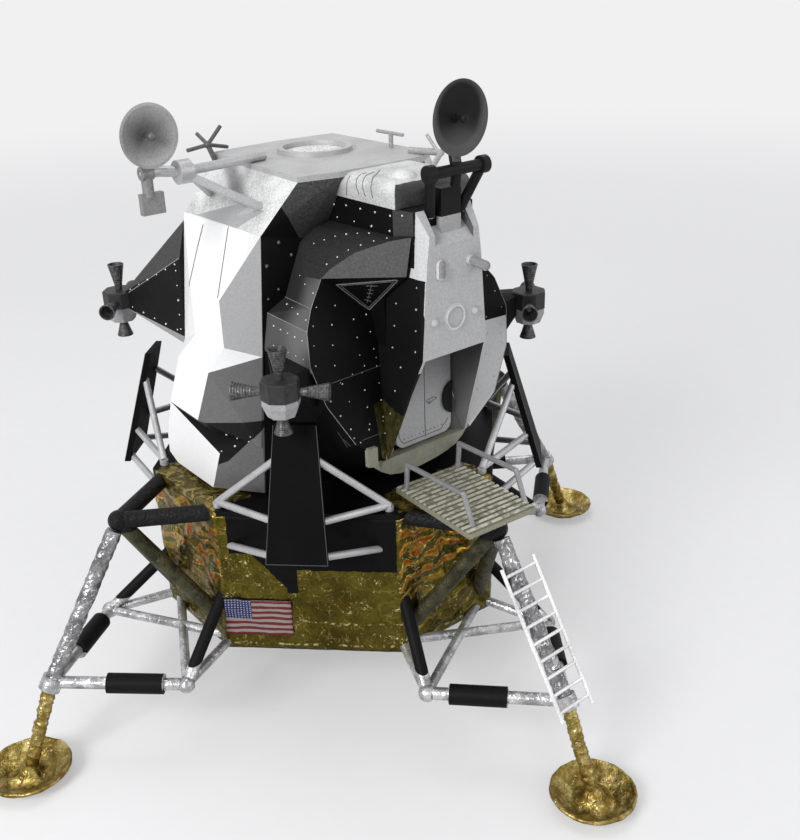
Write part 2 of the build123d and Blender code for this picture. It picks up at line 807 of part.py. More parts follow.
def antenna_arm():
    """Arm out over the starboard bay, with a drum, two struts and a pin at its end."""
    rod_start = (-9.6, arm_y + 1.4, roof_z + arm_root_dia / 2 - 0.02)
    drum = (drum_x, arm_y - drum_ahead, arm_z - drum_below)
    drum_from = (drum_x + drum_length / 2, drum[1], drum[2])
    drum_to = (drum_x - drum_length / 2, drum[1], drum[2])
    boss_from = boss_length / 2 + running_gap - dish_place
    arm = tube(rod_start, drum, arm_root_dia)
    arm += tube(drum_from, drum_to, drum_dia)
    stub_end = (boss_from + 1.0, arm_y, arm_z)
    arm += bent_tube([drum, stub_end, (boss_from, arm_y, arm_z)], arm_dia)
    arm += tube(stub_end, (-dish_place - boss_length / 2, arm_y, arm_z), pin_dia)
    arm += tube((drum_x - 0.5, drum[1], drum[2]), (-15.2, -8.3, 82.2), arm_strut_dia)
    arm += tube((-15.6, -7.9, 82.6), (-16.3, -1.2, 79.4), arm_strut_dia)
    arm += tube((drum_x + 0.6, drum[1], drum[2]), (-15.1, 6.6, 82.0), arm_strut_dia)
    return arm - roof_shape - mid_shape - starboard_bay


def dish_antenna():
    """Dish, its stem, the boss on the arm's pin and the flat weight below."""
    stem_x = -dish_place
    centre = (stem_x, arm_y - dish_ahead, arm_z + dish_rise)
    antenna = facing(centre, 0, 0) * dish(dish_radius, dish_depth, dish_wall)
    stem_top = (stem_x, arm_y, centre[2])
    bowl_back = (stem_x, centre[1] + dish_depth - 0.2, centre[2])
    antenna += bent_tube([(stem_x, arm_y, arm_z), stem_top, bowl_back], stem_dia)
    antenna += tube((stem_x, arm_y, arm_z), (stem_x, arm_y, arm_z - weight_top - 0.5), stem_dia)
    left = stem_x + weight_inboard - weight_width / 2
    back = arm_y + weight_thick / 2
    bottom = arm_z - weight_top - weight_height
    antenna += box(left, left + weight_width, back - weight_thick, back, bottom, arm_z - weight_top)
    half = boss_length / 2
    antenna += tube((stem_x - half, arm_y, arm_z), (stem_x + half, arm_y, arm_z), boss_dia)
    bore = tube((stem_x - 9, arm_y, arm_z), (stem_x + 9, arm_y, arm_z), pin_dia + 2 * running_gap)
    return antenna - bore


def radar_yoke():
    """Two arms with end caps and the shaft between them, and the box on the panel's top."""
    reach = radar_half + cap_length / 2
    yoke_feet = {-1: yoke_foot_starboard, 1: yoke_foot_port}
    yoke = tube((radar_x - reach, radar_y, radar_z), (radar_x + reach, radar_y, radar_z), pin_dia)
    room_half = radar_half + running_gap
    room = tube(
        (radar_x - room_half, radar_y, radar_z),
        (radar_x + room_half, radar_y, radar_z),
        pin_dia + 2 * (2 * running_gap + sleeve_wall),
    )
    for side in (-1, 1):
        inner = radar_x + side * (radar_half + running_gap)
        outer = inner + side * cap_length
        middle = (inner + side * cap_length / 2, radar_y, radar_z)
        yoke += tube((inner, radar_y, radar_z), (outer, radar_y, radar_z), cap_dia)
        yoke += tube(middle, (yoke_feet[side], -29.2, 82.4), yoke_dia) - room
    yoke += box(-1.3, 2.3, -30.3, -28.1, 80.0, 86.0)
    return yoke - panel_shape - cabin_shape


def radar_antenna():
    """Radar dish, its stem and the sleeve that turns on the yoke's shaft."""
    centre = (radar_x, radar_y - radar_ahead, radar_z + radar_rise)
    antenna = facing(centre, 0, 0) * dish(radar_radius, dish_depth, dish_wall)
    stem_top = (radar_x, radar_y + 1.4, radar_z + radar_rise - 0.8)
    antenna += tube((radar_x, radar_y, radar_z), stem_top, stem_dia)
    antenna += tube(stem_top, (radar_x, radar_y, centre[2]), stem_dia * 0.8)
    antenna += tube((radar_x, radar_y, radar_z), (radar_x, radar_y + 0.3, radar_z - 2.2), yoke_dia)
    start = (radar_x - radar_half, radar_y, radar_z)
    end = (radar_x + radar_half, radar_y, radar_z)
    antenna += tube(start, end, pin_dia + 2 * (running_gap + sleeve_wall))
    bore = tube((radar_x - 9, radar_y, radar_z), (radar_x + 9, radar_y, radar_z), pin_dia + 2 * running_gap)
    return antenna - bore


def small_antennas():
    """Crossed rods aft, a T-shaped rod on the roof and rods beside the fairing."""
    centre = (-12.8, 10.0, 88.6)
    rods = tube((-12.0, 9.2, 85.6), centre, 0.8)
    for end in ((-10.3, 10.0, 91.1), (-16.4, 10.0, 88.2), (-12.8, 13.0, 89.9), (-7.8, 12.8, 87.3)):
        rods += tube(centre, end, 0.6)
    rods += Pos(*centre) * Sphere(0.6)
    rods += tube((9.5, -6.9, roof_z - 0.2), (9.5, -6.9, 89.3), 0.7)
    rods += tube((9.5, -3.6, 89.35), (9.5, -9.8, 89.35), 0.55)
    rods += tube((8.6, -12.4, roof_z + 0.35), (8.8, -19.4, 88.0), 1.0)
    rods += tube((8.7, -18.6, 88.0), (8.7, -16.2, 90.2), 0.5)
    rods += tube((8.8, -19.2, 88.0), (4.6, -21.8, fairing_z - 0.3), 0.8)
    return rods - roof_shape - fairing_shape - mid_shape


nodes["antenna_arm"] = antenna_arm()
nodes["dish_antenna"] = dish_antenna()
nodes["radar_yoke"] = radar_yoke()
nodes["radar_antenna"] = radar_antenna()
nodes["small_antennas"] = small_antennas()

for name, shape in nodes.items():
    export_step(shape, "parts/" + name + ".step")
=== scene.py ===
import math

import bmesh
import bpy
from mathutils import Matrix, Vector, noise


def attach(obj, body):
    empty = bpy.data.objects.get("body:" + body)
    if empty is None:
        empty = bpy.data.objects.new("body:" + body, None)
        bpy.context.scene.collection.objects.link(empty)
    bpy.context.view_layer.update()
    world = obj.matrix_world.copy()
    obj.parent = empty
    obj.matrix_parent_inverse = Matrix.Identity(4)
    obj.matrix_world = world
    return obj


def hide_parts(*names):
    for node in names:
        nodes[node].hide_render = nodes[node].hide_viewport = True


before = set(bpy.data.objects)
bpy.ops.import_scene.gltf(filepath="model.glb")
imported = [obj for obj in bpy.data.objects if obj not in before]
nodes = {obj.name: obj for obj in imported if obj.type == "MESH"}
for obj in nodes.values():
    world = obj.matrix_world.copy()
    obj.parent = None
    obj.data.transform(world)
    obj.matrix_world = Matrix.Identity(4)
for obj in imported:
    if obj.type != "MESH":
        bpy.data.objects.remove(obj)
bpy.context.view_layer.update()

MM = 0.001
DIAGONAL = math.sqrt(0.5)
LEGS = {"front": -90, "starboard": 180, "aft": 90, "port": 0}
CORNERS = {"port_aft": 45, "starboard_aft": 135, "starboard_front": 225, "port_front": 315}
AFT_SIDES = {"starboard_aft": -1, "port_aft": 1}
SCENE = bpy.context.scene
SCENE.view_settings.view_transform = "Standard"

# Camera at the photograph's angle: its aim and distance in mm, its angles in degrees
CAMERA_AIM, CAMERA_DISTANCE = Vector((9.15, -7.43, 41.15)), 177.2
CAMERA_TURN, CAMERA_RISE, CAMERA_ROLL = 39.23, 24.86, -1.77
LENS, SENSOR = 44.07, 36.0
NEAREST, FARTHEST = 0.005, 20.0

# The studio: its floor in metres, where that fades in mm, and the colours of backdrop and plain light
FLOOR_HALF, FLOOR_DROP = 4.0, 0.00005
FADE_START, FADE_END = 90.0, 700.0
BACKDROP = (0.88, 0.88, 0.89)
STUDIO_LIGHT = (0.46, 0.465, 0.48)

# Foil round the lower stage: out to a leg face, half a leg face's width, foot and top, in mm
FOIL_REACH, FOIL_HALF = 29.4, 9.55
FOIL_LOW, FOIL_HIGH = 14.1, 38.15
FOIL_FOLD, FOIL_SEED = 3.4, 1
LEG_FACE_DEPTH, DIAGONAL_DEPTH = 0.62, 0.34

# Decal on the near diagonal face, in mm: its left end along the face, its foot, its size and its place
FLAG_LEFT, FLAG_FOOT = -13.95, 16.9
FLAG_LENGTH, FLAG_HEIGHT = 10.7, 6.5
FLAG_OUT, FLAG_THICK = 27.79, 0.12

# Places that paint follows, in mm
RING_FLOOR = (0.0, 0.0, 87.3)
DISH_MIDDLE = (-29.4, -4.2, 93.4)
RADAR_MIDDLE = (0.35, -31.9, 95.9)
BADGE_LEVEL, BADGE_RADIUS = 68.1, 1.75
BAY_WAIST_LOW, BAY_WAIST_HIGH = 46.7, 51.9
KNEE_REACH, KNEE_ACROSS = 39.1, 13.1


def place_camera():
    turn, rise = math.radians(CAMERA_TURN), math.radians(CAMERA_RISE)
    away = Vector((-math.sin(turn) * math.cos(rise), -math.cos(turn) * math.cos(rise), math.sin(rise)))
    data = bpy.data.cameras.new("camera")
    data.lens = LENS
    data.sensor_width = SENSOR
    data.clip_start = NEAREST
    data.clip_end = FARTHEST
    camera = bpy.data.objects.new("camera", data)
    camera.location = (CAMERA_AIM + away * CAMERA_DISTANCE) * MM
    look = (-away).to_track_quat("-Z", "Y").to_matrix()
    roll = Matrix.Rotation(math.radians(CAMERA_ROLL), 3, "Z")
    camera.rotation_euler = (look @ roll).to_euler()
    SCENE.collection.objects.link(camera)
    SCENE.camera = camera


def lamp(name, place, aim, size, watts):
    """Soft square lamp at a place, turned towards a point, both in metres."""
    data = bpy.data.lights.new(name, "AREA")
    data.shape = "SQUARE"
    data.size = size
    data.energy = watts
    light = bpy.data.objects.new(name, data)
    light.location = place
    light.rotation_euler = (Vector(aim) - Vector(place)).to_track_quat("-Z", "Y").to_euler()
    SCENE.collection.objects.link(light)


def grey(level, blue=None):
    """Grey of one level, with its own blue where it is a little cool or warm."""
    return (level, level, level if blue is None else blue)


def add_node(tree, kind, settings=None, inputs=None):
    """Adds a node: its settings first, then its inputs, which are plain values or sockets to link."""
    node = tree.nodes.new(kind)
    for key, value in (settings or {}).items():
        if key == "stops":
            elements = node.color_ramp.elements
            while len(elements) < len(value):
                elements.new(1.0)
            for element, (place, colour) in zip(elements, value):
                element.position = place
                element.color = (*colour, 1.0)
        else:
            setattr(node, key, value)
    for key, value in (inputs or {}).items():
        if isinstance(value, Value):
            value = value.socket
        if isinstance(value, bpy.types.NodeSocket):
            tree.links.new(value, node.inputs[key])
        else:
            node.inputs[key].default_value = value
    return node


def grow(tree, kind, settings=None, inputs=None, out=0):
    """Adds a node and gives one of its output sockets."""
    return add_node(tree, kind, settings, inputs).outputs[out]


class Value:
    """A shader socket that takes part in sums written as Python expressions."""

    def __init__(self, paint, socket):
        self.paint = paint
        self.socket = socket

    def step(self, operation, *operands):
        """One Math node on the operands, which are values or numbers."""
        inputs = dict(enumerate(operands))
        return self.paint.node("ShaderNodeMath", {"operation": operation}, inputs)

    def __add__(self, other):
        return self.step("ADD", self, other)

    def __radd__(self, other):
        return self.step("ADD", self, other)

    def __sub__(self, other):
        return self.step("SUBTRACT", self, other)

    def __rsub__(self, other):
        return self.step("SUBTRACT", other, self)

    def __mul__(self, other):
        return self.step("MULTIPLY", self, other)

    def __rmul__(self, other):
        return self.step("MULTIPLY", self, other)

    def __gt__(self, other):
        return self.step("GREATER_THAN", self, other)

    def __lt__(self, other):
        return self.step("LESS_THAN", self, other)

    def __or__(self, other):
        """The greater of two, so that masks join."""
        return self.step("MAXIMUM", self, other)

    def __and__(self, other):
        """The lesser of two."""
        return self.step("MINIMUM", self, other)

    def __abs__(self):
        return self.step("ABSOLUTE", self)

    def length(self):
        """Length of a vector."""
        return self.paint.node("ShaderNodeVectorMath", {"operation": "LENGTH"}, {0: self}, out="Value")

    def wrap(self, length):
        """What is left over after whole lengths."""
        return self.step("WRAP", self, length, 0.0)

    def ramp(self, low, high):
        """0 below low, 1 above high, smooth between."""
        inputs = {"Value": self, "From Min": low, "From Max": high}
        return self.paint.node("ShaderNodeMapRange", {"interpolation_type": "SMOOTHSTEP"}, inputs)


class Paint:
    """One procedural material. Places are in mm in the model's frame."""

    def __init__(self, name):
        self.material = bpy.data.materials.new(name)
        self.material.use_nodes = True
        self.tree = self.material.node_tree
        self.tree.nodes.clear()
        place = self.node("ShaderNodeTexCoord", out="Object")
        self.mm = self.node("ShaderNodeVectorMath", {"operation": "SCALE"}, {0: place, "Scale": 1000.0})
        self.x, self.y, self.z = self.parts(self.mm)
        facing = self.node("ShaderNodeTexCoord", out="Normal")
        self.nx, self.ny, self.nz = self.parts(facing)

    def node(self, kind, settings=None, inputs=None, out=0):
        return Value(self, grow(self.tree, kind, settings, inputs, out))

    def parts(self, vector):
        split = add_node(self.tree, "ShaderNodeSeparateXYZ", {}, {0: vector})
        return [Value(self, socket) for socket in split.outputs]

    def mix(self, low, high, share):
        """Colour between two colours."""
        low, high = [(*c, 1.0) if isinstance(c, tuple) else c for c in (low, high)]
        return self.node("ShaderNodeMix", {"data_type": "RGBA"}, {0: share, 6: low, 7: high}, out=2)

    def vector(self, x, y, z):
        return self.node("ShaderNodeCombineXYZ", {}, {0: x, 1: y, 2: z})

    def out(self):
        """Distance in mm out along the nearer axis, on which a leg stands."""
        return abs(self.x) | abs(self.y)

    def beside(self):
        """Distance in mm to either side of that axis."""
        return abs(self.x) & abs(self.y)

    def away(self, point):
        """Distance in mm from a point."""
        inputs = {0: self.mm, 1: point}
        return self.node("ShaderNodeVectorMath", {"operation": "DISTANCE"}, inputs, out="Value")

    def noise(self, size, detail=2.0, rough=0.5, bend=0.0):
        """Soft noise, about 0.5 in the middle, with spots of the given size in mm."""
        inputs = {"Vector": self.mm, "Scale": 1.0 / size, "Detail": detail, "Roughness": rough}
        inputs["Distortion"] = bend
        return self.node("ShaderNodeTexNoise", {}, inputs)

    def ragged(self, size, reach):
        """Noise round nought, reach mm from end to end, to roughen an edge of paint."""
        return (self.noise(size) - 0.5) * reach

    def satin(self, rough, size=0.6):
        """Roughness that varies a little from place to place."""
        return rough + self.noise(size) * 0.15

    def creases(self, size, bend=0.4):
        """Sharp folds of crumpled foil: 1 on a fold, 0 between."""
        return 1.0 - abs(self.noise(size, 1.5, 0.5, bend) - 0.5) * 4.0

    def ramp(self, share, *stops):
        """Colours between stops, each a place from 0 to 1 and its colour."""
        return self.node("ShaderNodeValToRGB", {"stops": stops}, {0: share})

    def finish(self, colour, rough, metal, height, depth, spec=0.5):
        """Closes the material. height, from 0 to 1, rises by depth in mm."""
        bump = self.node("ShaderNodeBump", {}, {"Strength": 1.0, "Distance": depth * MM, "Height": height})
        inputs = {"Base Color": colour, "Roughness": rough, "Metallic": metal, "Normal": bump}
        inputs["Specular IOR Level"] = spec
        self.close(self.node("ShaderNodeBsdfPrincipled", {}, inputs))
        return self.material

    def close(self, surface):
        add_node(self.tree, "ShaderNodeOutputMaterial", {}, {"Surface": surface})


def build_world():
    """Pale backdrop for the camera and for reflections, plain grey light on the model."""
    world = bpy.data.worlds.new("studio")
    SCENE.world = world
    world.use_nodes = True
    tree = world.node_tree
    tree.nodes.clear()
    ray = add_node(tree, "ShaderNodeLightPath").outputs
    seen = {0: ray["Is Camera Ray"], 1: ray["Is Glossy Ray"]}
    share = grow(tree, "ShaderNodeMath", {"operation": "MAXIMUM"}, seen)
    colours = {0: share, 6: (*STUDIO_LIGHT, 1.0), 7: (*BACKDROP, 1.0)}
    colour = grow(tree, "ShaderNodeMix", {"data_type": "RGBA"}, colours, out=2)
    light = grow(tree, "ShaderNodeBackground", {}, {"Color": colour})
    add_node(tree, "ShaderNodeOutputWorld", {}, {"Surface": light})


def build_floor():
    """Pale floor that fades into the backdrop away from the model."""
    mesh = bpy.data.meshes.new("floor")
    corners = [(x * FLOOR_HALF, y * FLOOR_HALF, 0.0) for x, y in ((-1, -1), (1, -1), (1, 1), (-1, 1))]
    mesh.from_pydata(corners, [], [(0, 1, 2, 3)])
    floor = bpy.data.objects.new("floor", mesh)
    floor.location = (0.0, 0.0, -FLOOR_DROP)
    SCENE.collection.objects.link(floor)
    p = Paint("pale_floor")
    grain = p.mix(grey(0.76, 0.765), grey(0.80, 0.805), p.noise(3.0, 3.0))
    matt = p.node("ShaderNodeBsdfDiffuse", {}, {"Color": grain})
    pale = p.node("ShaderNodeEmission", {}, {"Color": (*BACKDROP, 1.0)})
    seen = p.node("ShaderNodeLightPath", out="Is Camera Ray")
    share = seen * (0.40 + p.away((0.0, 0.0, 0.0)).ramp(FADE_START, FADE_END) * 0.60)
    p.close(p.node("ShaderNodeMixShader", {}, {0: share, 1: matt, 2: pale}))
    mesh.materials.append(p.material)


place_camera()
build_world()
build_floor()
lamp("key", place=(-0.42, -0.12, 0.30), aim=(0.0, 0.0, 0.045), size=0.20, watts=2.0)
lamp("fill", place=(0.26, -0.45, 0.24), aim=(0.0, 0.0, 0.04), size=0.35, watts=0.62)
lamp("top", place=(0.05, 0.10, 0.55), aim=(0.0, 0.0, 0.05), size=0.35, watts=0.78)


# Finishes. Places in them are in mm in the model's frame, and sizes of grain too
def diagonal_black(p):
    """1 where a diagonal face is black: ragged under the near deflector, a plain band on the others."""
    left_edge, notch_left, notch_right, right_edge = -12.3, -3.6, -2.1, 13.5
    left_foot, notch_foot, right_foot, band_foot = 31.8, 24.8, 29.0, 29.2
    near_reach, slope_start, slope = 27.0, -9.0, 1.15
    along = (p.x - p.y) * DIAGONAL + p.ragged(1.5, 0.4)
    level = p.z + p.ragged(1.3, 0.4)
    near = (p.x + p.y) * DIAGONAL < -near_reach
    drop = ((along - slope_start) | 0.0) * slope
    left = (along > left_edge) * (along < notch_left) * (level > left_foot - drop)
    notch = (along > notch_left - 0.1) * (along < notch_right + 0.1) * (level > notch_foot)
    right = (along > notch_right) * (along < right_edge) * (level > right_foot)
    off_leg_faces = p.out() < FOIL_REACH - 0.5
    diagonal = (abs(p.x) + abs(p.y) > FOIL_REACH + FOIL_HALF - 0.75) * off_leg_faces
    return (left | notch | right) * near | diagonal * (1.0 - near) * (level > band_foot)


def gold_foil():
    """Crumpled gold foil, with wavy orange folds on the leg faces and black paint on the diagonal ones."""
    p = Paint("gold_foil")
    orange, bright, straw = (0.36, 0.075, 0.002), (0.42, 0.26, 0.035), (0.20, 0.15, 0.035)
    shadow, dull, olive = (0.030, 0.025, 0.005), (0.052, 0.040, 0.006), (0.084, 0.066, 0.010)
    warm, glint = (0.130, 0.102, 0.018), (0.92, 0.78, 0.38)
    seam_level, hem_level = 19.3, FOIL_LOW + 1.0
    leg_face = 1.0 - p.beside().ramp(FOIL_HALF - 0.25, FOIL_HALF + 0.35)
    net = p.creases(2.1, 0.9)
    fine = p.creases(0.9, 0.6)
    tiny = p.noise(0.35, 2.0)
    tone = p.noise(5.0, 3.0, 0.5) + leg_face * 0.10
    colour = p.ramp(tone, (0.30, dull), (0.5, olive), (0.75, warm))
    colour = p.mix(colour, shadow, p.creases(1.5, 1.2).ramp(0.80, 0.98) * 0.5)
    # Painted highlights in pale straw along the crests of the fold net
    colour = p.mix(colour, straw, net.ramp(0.84, 1.0) * p.noise(1.6, 2.0).ramp(0.42, 0.62) * 0.7)
    # Long wavy folds on the leg faces, strongest in their upper half
    wave = (p.z - (p.x - p.y) * 0.06) * 0.40 + p.noise(5.5, 1.5, 0.45, bend=0.5) * 3.4
    fold = abs(wave.wrap(1.0) - 0.5) * 2.0
    band = p.z.ramp(20.0, 29.0) * leg_face
    colour = p.mix(colour, bright, fold.ramp(0.40, 0.62) * band * 0.75)
    colour = p.mix(colour, orange, fold.ramp(0.66, 0.84) * band * p.noise(2.2, 2.0).ramp(0.38, 0.56))
    # Painted highlights in pale straw along the folds low on the leg faces
    colour = p.mix(colour, straw, fold.ramp(0.70, 0.95) * leg_face * (1.0 - band) * 0.8)
    # Light caught on the sharpest creases, on a seam and along the hem
    crest = net.ramp(0.93, 1.0) | fine.ramp(0.93, 1.0) * 0.8
    edge = fold.ramp(0.52, 0.58) * (1.0 - fold.ramp(0.60, 0.66)) * band
    lit = p.noise(0.5, 2.0).ramp(0.47, 0.62) * (p.noise(2.6, 2.0) + band * 0.08).ramp(0.46, 0.66)
    from_seam = abs(p.z - seam_level + p.ragged(4.0, 2.4))
    seam = (1.0 - from_seam * 4.0).ramp(0.2, 0.9) * p.noise(0.7).ramp(0.5, 0.62)
    hem = (1.0 - abs(p.z - hem_level) * 2.5).ramp(0.2, 0.9) * p.noise(0.8).ramp(0.48, 0.62)
    colour = p.mix(colour, glint, (crest | edge) * lit | seam * 0.45 | hem * 0.5)
    height = net * (0.32 + leg_face * 0.2) + fine * 0.18 + fold * leg_face * 0.9 + tiny * 0.10
    black = diagonal_black(p)
    colour = p.mix(colour, grey(0.004, 0.0043), black)
    rough = 0.26 + tiny * 0.14 + black * 0.15
    return p.finish(colour, rough, 0.92 - black * 0.92, height * (1.0 - black * 0.7), 0.16, spec=0.05)


def silver_foil(name, low, high):
    """Paint, colour, roughness and height of crumpled silver foil between two greys."""
    p = Paint(name)
    broad = p.creases(1.5, 0.8)
    fine = p.creases(0.6, 0.4)
    tiny = p.noise(0.3, 2.0)
    colour = p.mix(grey(low, low * 1.02), grey(high, high * 1.02), p.noise(2.4, 3.0, 0.5).ramp(0.35, 0.65))
    # Painted shade in the fine creases, painted highlights on the crests of the broad folds
    colour = p.mix(colour, grey(0.10), fine.ramp(0.86, 1.0) * 0.4)
    colour = p.mix(colour, grey(0.90, 0.92), broad.ramp(0.86, 1.0) * p.noise(0.7).ramp(0.46, 0.6) * 0.8)
    return p, colour, 0.24 + tiny * 0.18, broad * 0.6 + fine * 0.3


def speckled_silver(p, low, high):
    """Silver paint sprayed thinly, so that it looks grainy."""
    grain = p.noise(0.26, 3.0, 0.75)
    cloud = p.noise(5.0, 2.0)
    return p.mix(low, high, (grain * 0.75 + cloud * 0.55).ramp(0.42, 0.86))


def dusty_black(p, level):
    """Black paint with faint dust and worn patches."""
    dust = p.noise(0.5, 4.0, 0.7)
    cloud = p.noise(6.0, 2.0)
    share = dust.ramp(0.55, 0.9) * 0.3 + cloud.ramp(0.4, 0.8) * 0.2
    return p.mix(grey(level, level * 1.06), grey(level * 3.0, level * 3.1), share)


def grainy(p, low, high):
    """Grey paint between two levels, with a fine grain."""
    grain = p.noise(0.32, 3.0, 0.7).ramp(0.28, 0.76)
    return p.mix(grey(low, low * 1.01), grey(high, high * 1.01), grain)


def plain(name, colour, rough=0.5, metal=0.0, spread=0.18, depth=0.03, spec=0.3):
    """Satin paint with slight mottling and brush grain."""
    p = Paint(name)
    dark = tuple(c * (1.0 - spread) for c in colour)
    light = tuple(min(c * (1.0 + spread), 1.0) for c in colour)
    share = (p.noise(0.5, 4.0, 0.65) * 0.6 + p.noise(4.0, 2.0) * 0.4).ramp(0.3, 0.7)
    colour = p.mix(dark, light, share)
    return p.finish(colour, rough + p.noise(1.2) * 0.12, metal, p.noise(0.4, 3.0), depth, spec=spec)


def silver_paint(name, low, high, rough=0.38):
    """Silver paint between two colours, on rods and rails."""
    p = Paint(name)
    colour = speckled_silver(p, low, high)
    return p.finish(colour, p.satin(rough), 0.4, p.noise(0.25, 3.0), 0.03)


def roof_paint():
    """Silver grey on the roof; the ring's floor is bright and speckled."""
    p = Paint("roof_paint")
    colour = speckled_silver(p, grey(0.36), grey(0.49))
    floor_radius = 4.4
    inside = (p.away(RING_FLOOR) < floor_radius) * (p.nz > 0.9)
    bright = p.mix(grey(0.42, 0.43), grey(0.95), p.noise(0.22, 2.0, 0.8).ramp(0.42, 0.6))
    colour = p.mix(colour, bright, inside)
    return p.finish(colour, p.satin(0.45), 0.35, p.noise(0.25, 3.0), 0.03)


def fairing_paint():
    """Speckled silver above, dark grey on the corner behind the radar and under the lip."""
    p = Paint("fairing_paint")
    corner_back, corner_top = -24.0, 86.7
    silver = speckled_silver(p, grey(0.34), grey(0.70))
    corner = (p.ny < -0.3) * (p.y < corner_back) * (p.z < corner_top + p.ragged(1.6, 0.2))
    colour = p.mix(silver, grainy(p, 0.045, 0.085), corner)
    lip = (p.nx < -0.5) * p.y.ramp(-17.0, -14.0) * p.z.ramp(85.8, 84.6)
    colour = p.mix(colour, grey(0.10), lip * 0.8)
    return p.finish(colour, p.satin(0.42), 0.3, p.noise(0.25, 3.0) + p.creases(2.4, 0.6) * 0.4, 0.06)


def midsection_paint():
    """Silver shoulders over black walls, with a dark grey undercut above the windows."""
    p = Paint("midsection_paint")
    shoulder, facet_top, shade_band_back = 78.9, 82.1, 6.0
    overhang = (p.ny < -0.8) * (p.nz < -0.2)
    black = (p.z < shoulder) | overhang | (p.ny < -0.97)
    silver = speckled_silver(p, grey(0.38), grey(0.84))
    # Painted shade in a band across the starboard slope, under the antenna arm, and a flat grey facet low on
    # it
    slope = (p.x < 0.0) * (p.nz > 0.3)
    from_shade_band = abs(p.z * 0.912 - p.y * 0.41 - 76.4)
    shade = (1.0 - from_shade_band.ramp(0.2, 1.9)) * p.z.ramp(81.0, 82.5) * (p.y < shade_band_back) * 0.75
    silver = p.mix(silver, grey(0.16, 0.165), slope * shade)
    between_edges = (p.z + p.y * 0.302 < 81.3) * (p.z + p.y * 0.587 > 76.6)
    facet = between_edges * (p.z > shoulder) * (p.z < facet_top)
    silver = p.mix(silver, grainy(p, 0.34, 0.40), slope * facet)
    colour = p.mix(silver, dusty_black(p, 0.005), black)
    undercut = overhang * (p.z > abs(p.x) * 1.333 + 62.84)
    dim = p.mix(grainy(p, 0.030, 0.062), grainy(p, 0.050, 0.12), p.z.ramp(78.0, 85.5))
    colour = p.mix(colour, dim, undercut)
    return p.finish(colour, p.satin(0.42), (1.0 - black) * 0.35, p.noise(0.25, 3.0), 0.03, spec=0.1)


def cabin_paint():
    """Black window faces, dim grey top, brow and flanks, pale grey low to port."""
    p = Paint("cabin_paint")
    side = abs(p.x)
    corner_foot, brow_foot, top_foot = 79.0, 73.4, 71.0
    flank_fold, flank_foot, port_top, beside_top, cheek_top = 67.0, 62.2, 61.8, 56.0, 55.0
    flank_side, port_side, panel_side, cheek_outer, cheek_inner = 11.5, 6.2, 9.0, -9.1, -6.5
    colour = dusty_black(p, 0.0035)
    top = (p.nz > 0.3) * (p.z > top_foot) * (p.ny > -0.5)
    dim = p.mix(grainy(p, 0.020, 0.034), grainy(p, 0.008, 0.018), p.z.ramp(76.5, 82.0))
    colour = p.mix(colour, dim, top)
    corner = (p.ny < -0.3) * (p.ny > -0.5) * (p.z > corner_foot)
    colour = p.mix(colour, grainy(p, 0.035, 0.055), corner)
    brow = (p.ny < -0.5) * (p.ny > -0.62) * (abs(p.nz) < 0.15) * (p.z > brow_foot)
    colour = p.mix(colour, grainy(p, 0.070, 0.108), brow)
    # The flanks get lighter away from the bays; their upright facet is the lightest
    flank = (p.ny > -0.3) * (side > flank_side) * (p.z > flank_foot) * (p.z < brow_foot)
    fade = p.y.ramp(-14.0, -19.0)
    slanted = flank * (p.z > flank_fold)
    upright = flank * (p.z < flank_fold + 0.7) * (abs(p.nx) > 0.95)
    colour = p.mix(colour, p.mix(grey(0.024, 0.025), grey(0.10, 0.101), fade), slanted)
    colour = p.mix(colour, p.mix(grey(0.075, 0.076), grey(0.13), fade), upright)
    front = p.ny < -0.6
    port_low = (p.x > port_side) * (p.z < port_top) * front
    colour = p.mix(colour, grainy(p, 0.50, 0.58), port_low)
    # Low beside the panel: painted shade to port, where that face turns into the hatch recess; lighter grey
    # to starboard
    beside_panel = (abs(p.nx) > 0.4) * front * (side < panel_side) * (p.z < beside_top)
    colour = p.mix(colour, grey(0.11, 0.112), beside_panel * (p.x > 0.0))
    colour = p.mix(colour, grey(0.30), beside_panel * (p.x < 0.0))
    cheek = (p.x > cheek_outer) * (p.x < cheek_inner) * (p.z < cheek_top) * (p.ny < -0.9)
    colour = p.mix(colour, olive_foil(p), cheek)
    return p.finish(colour, p.satin(0.40), 0.0, p.noise(0.35, 3.0, 0.7), 0.02, spec=0.06)


def olive_foil(p):
    """Dark olive foil on the panel's starboard cheek, orange at its foot."""
    olive = p.mix((0.016, 0.015, 0.004), (0.045, 0.040, 0.012), p.noise(0.9, 3.0).ramp(0.3, 0.7))
    return p.mix(olive, (0.26, 0.12, 0.01), p.z.ramp(48.5, 46.5) * p.noise(0.8).ramp(0.4, 0.6))


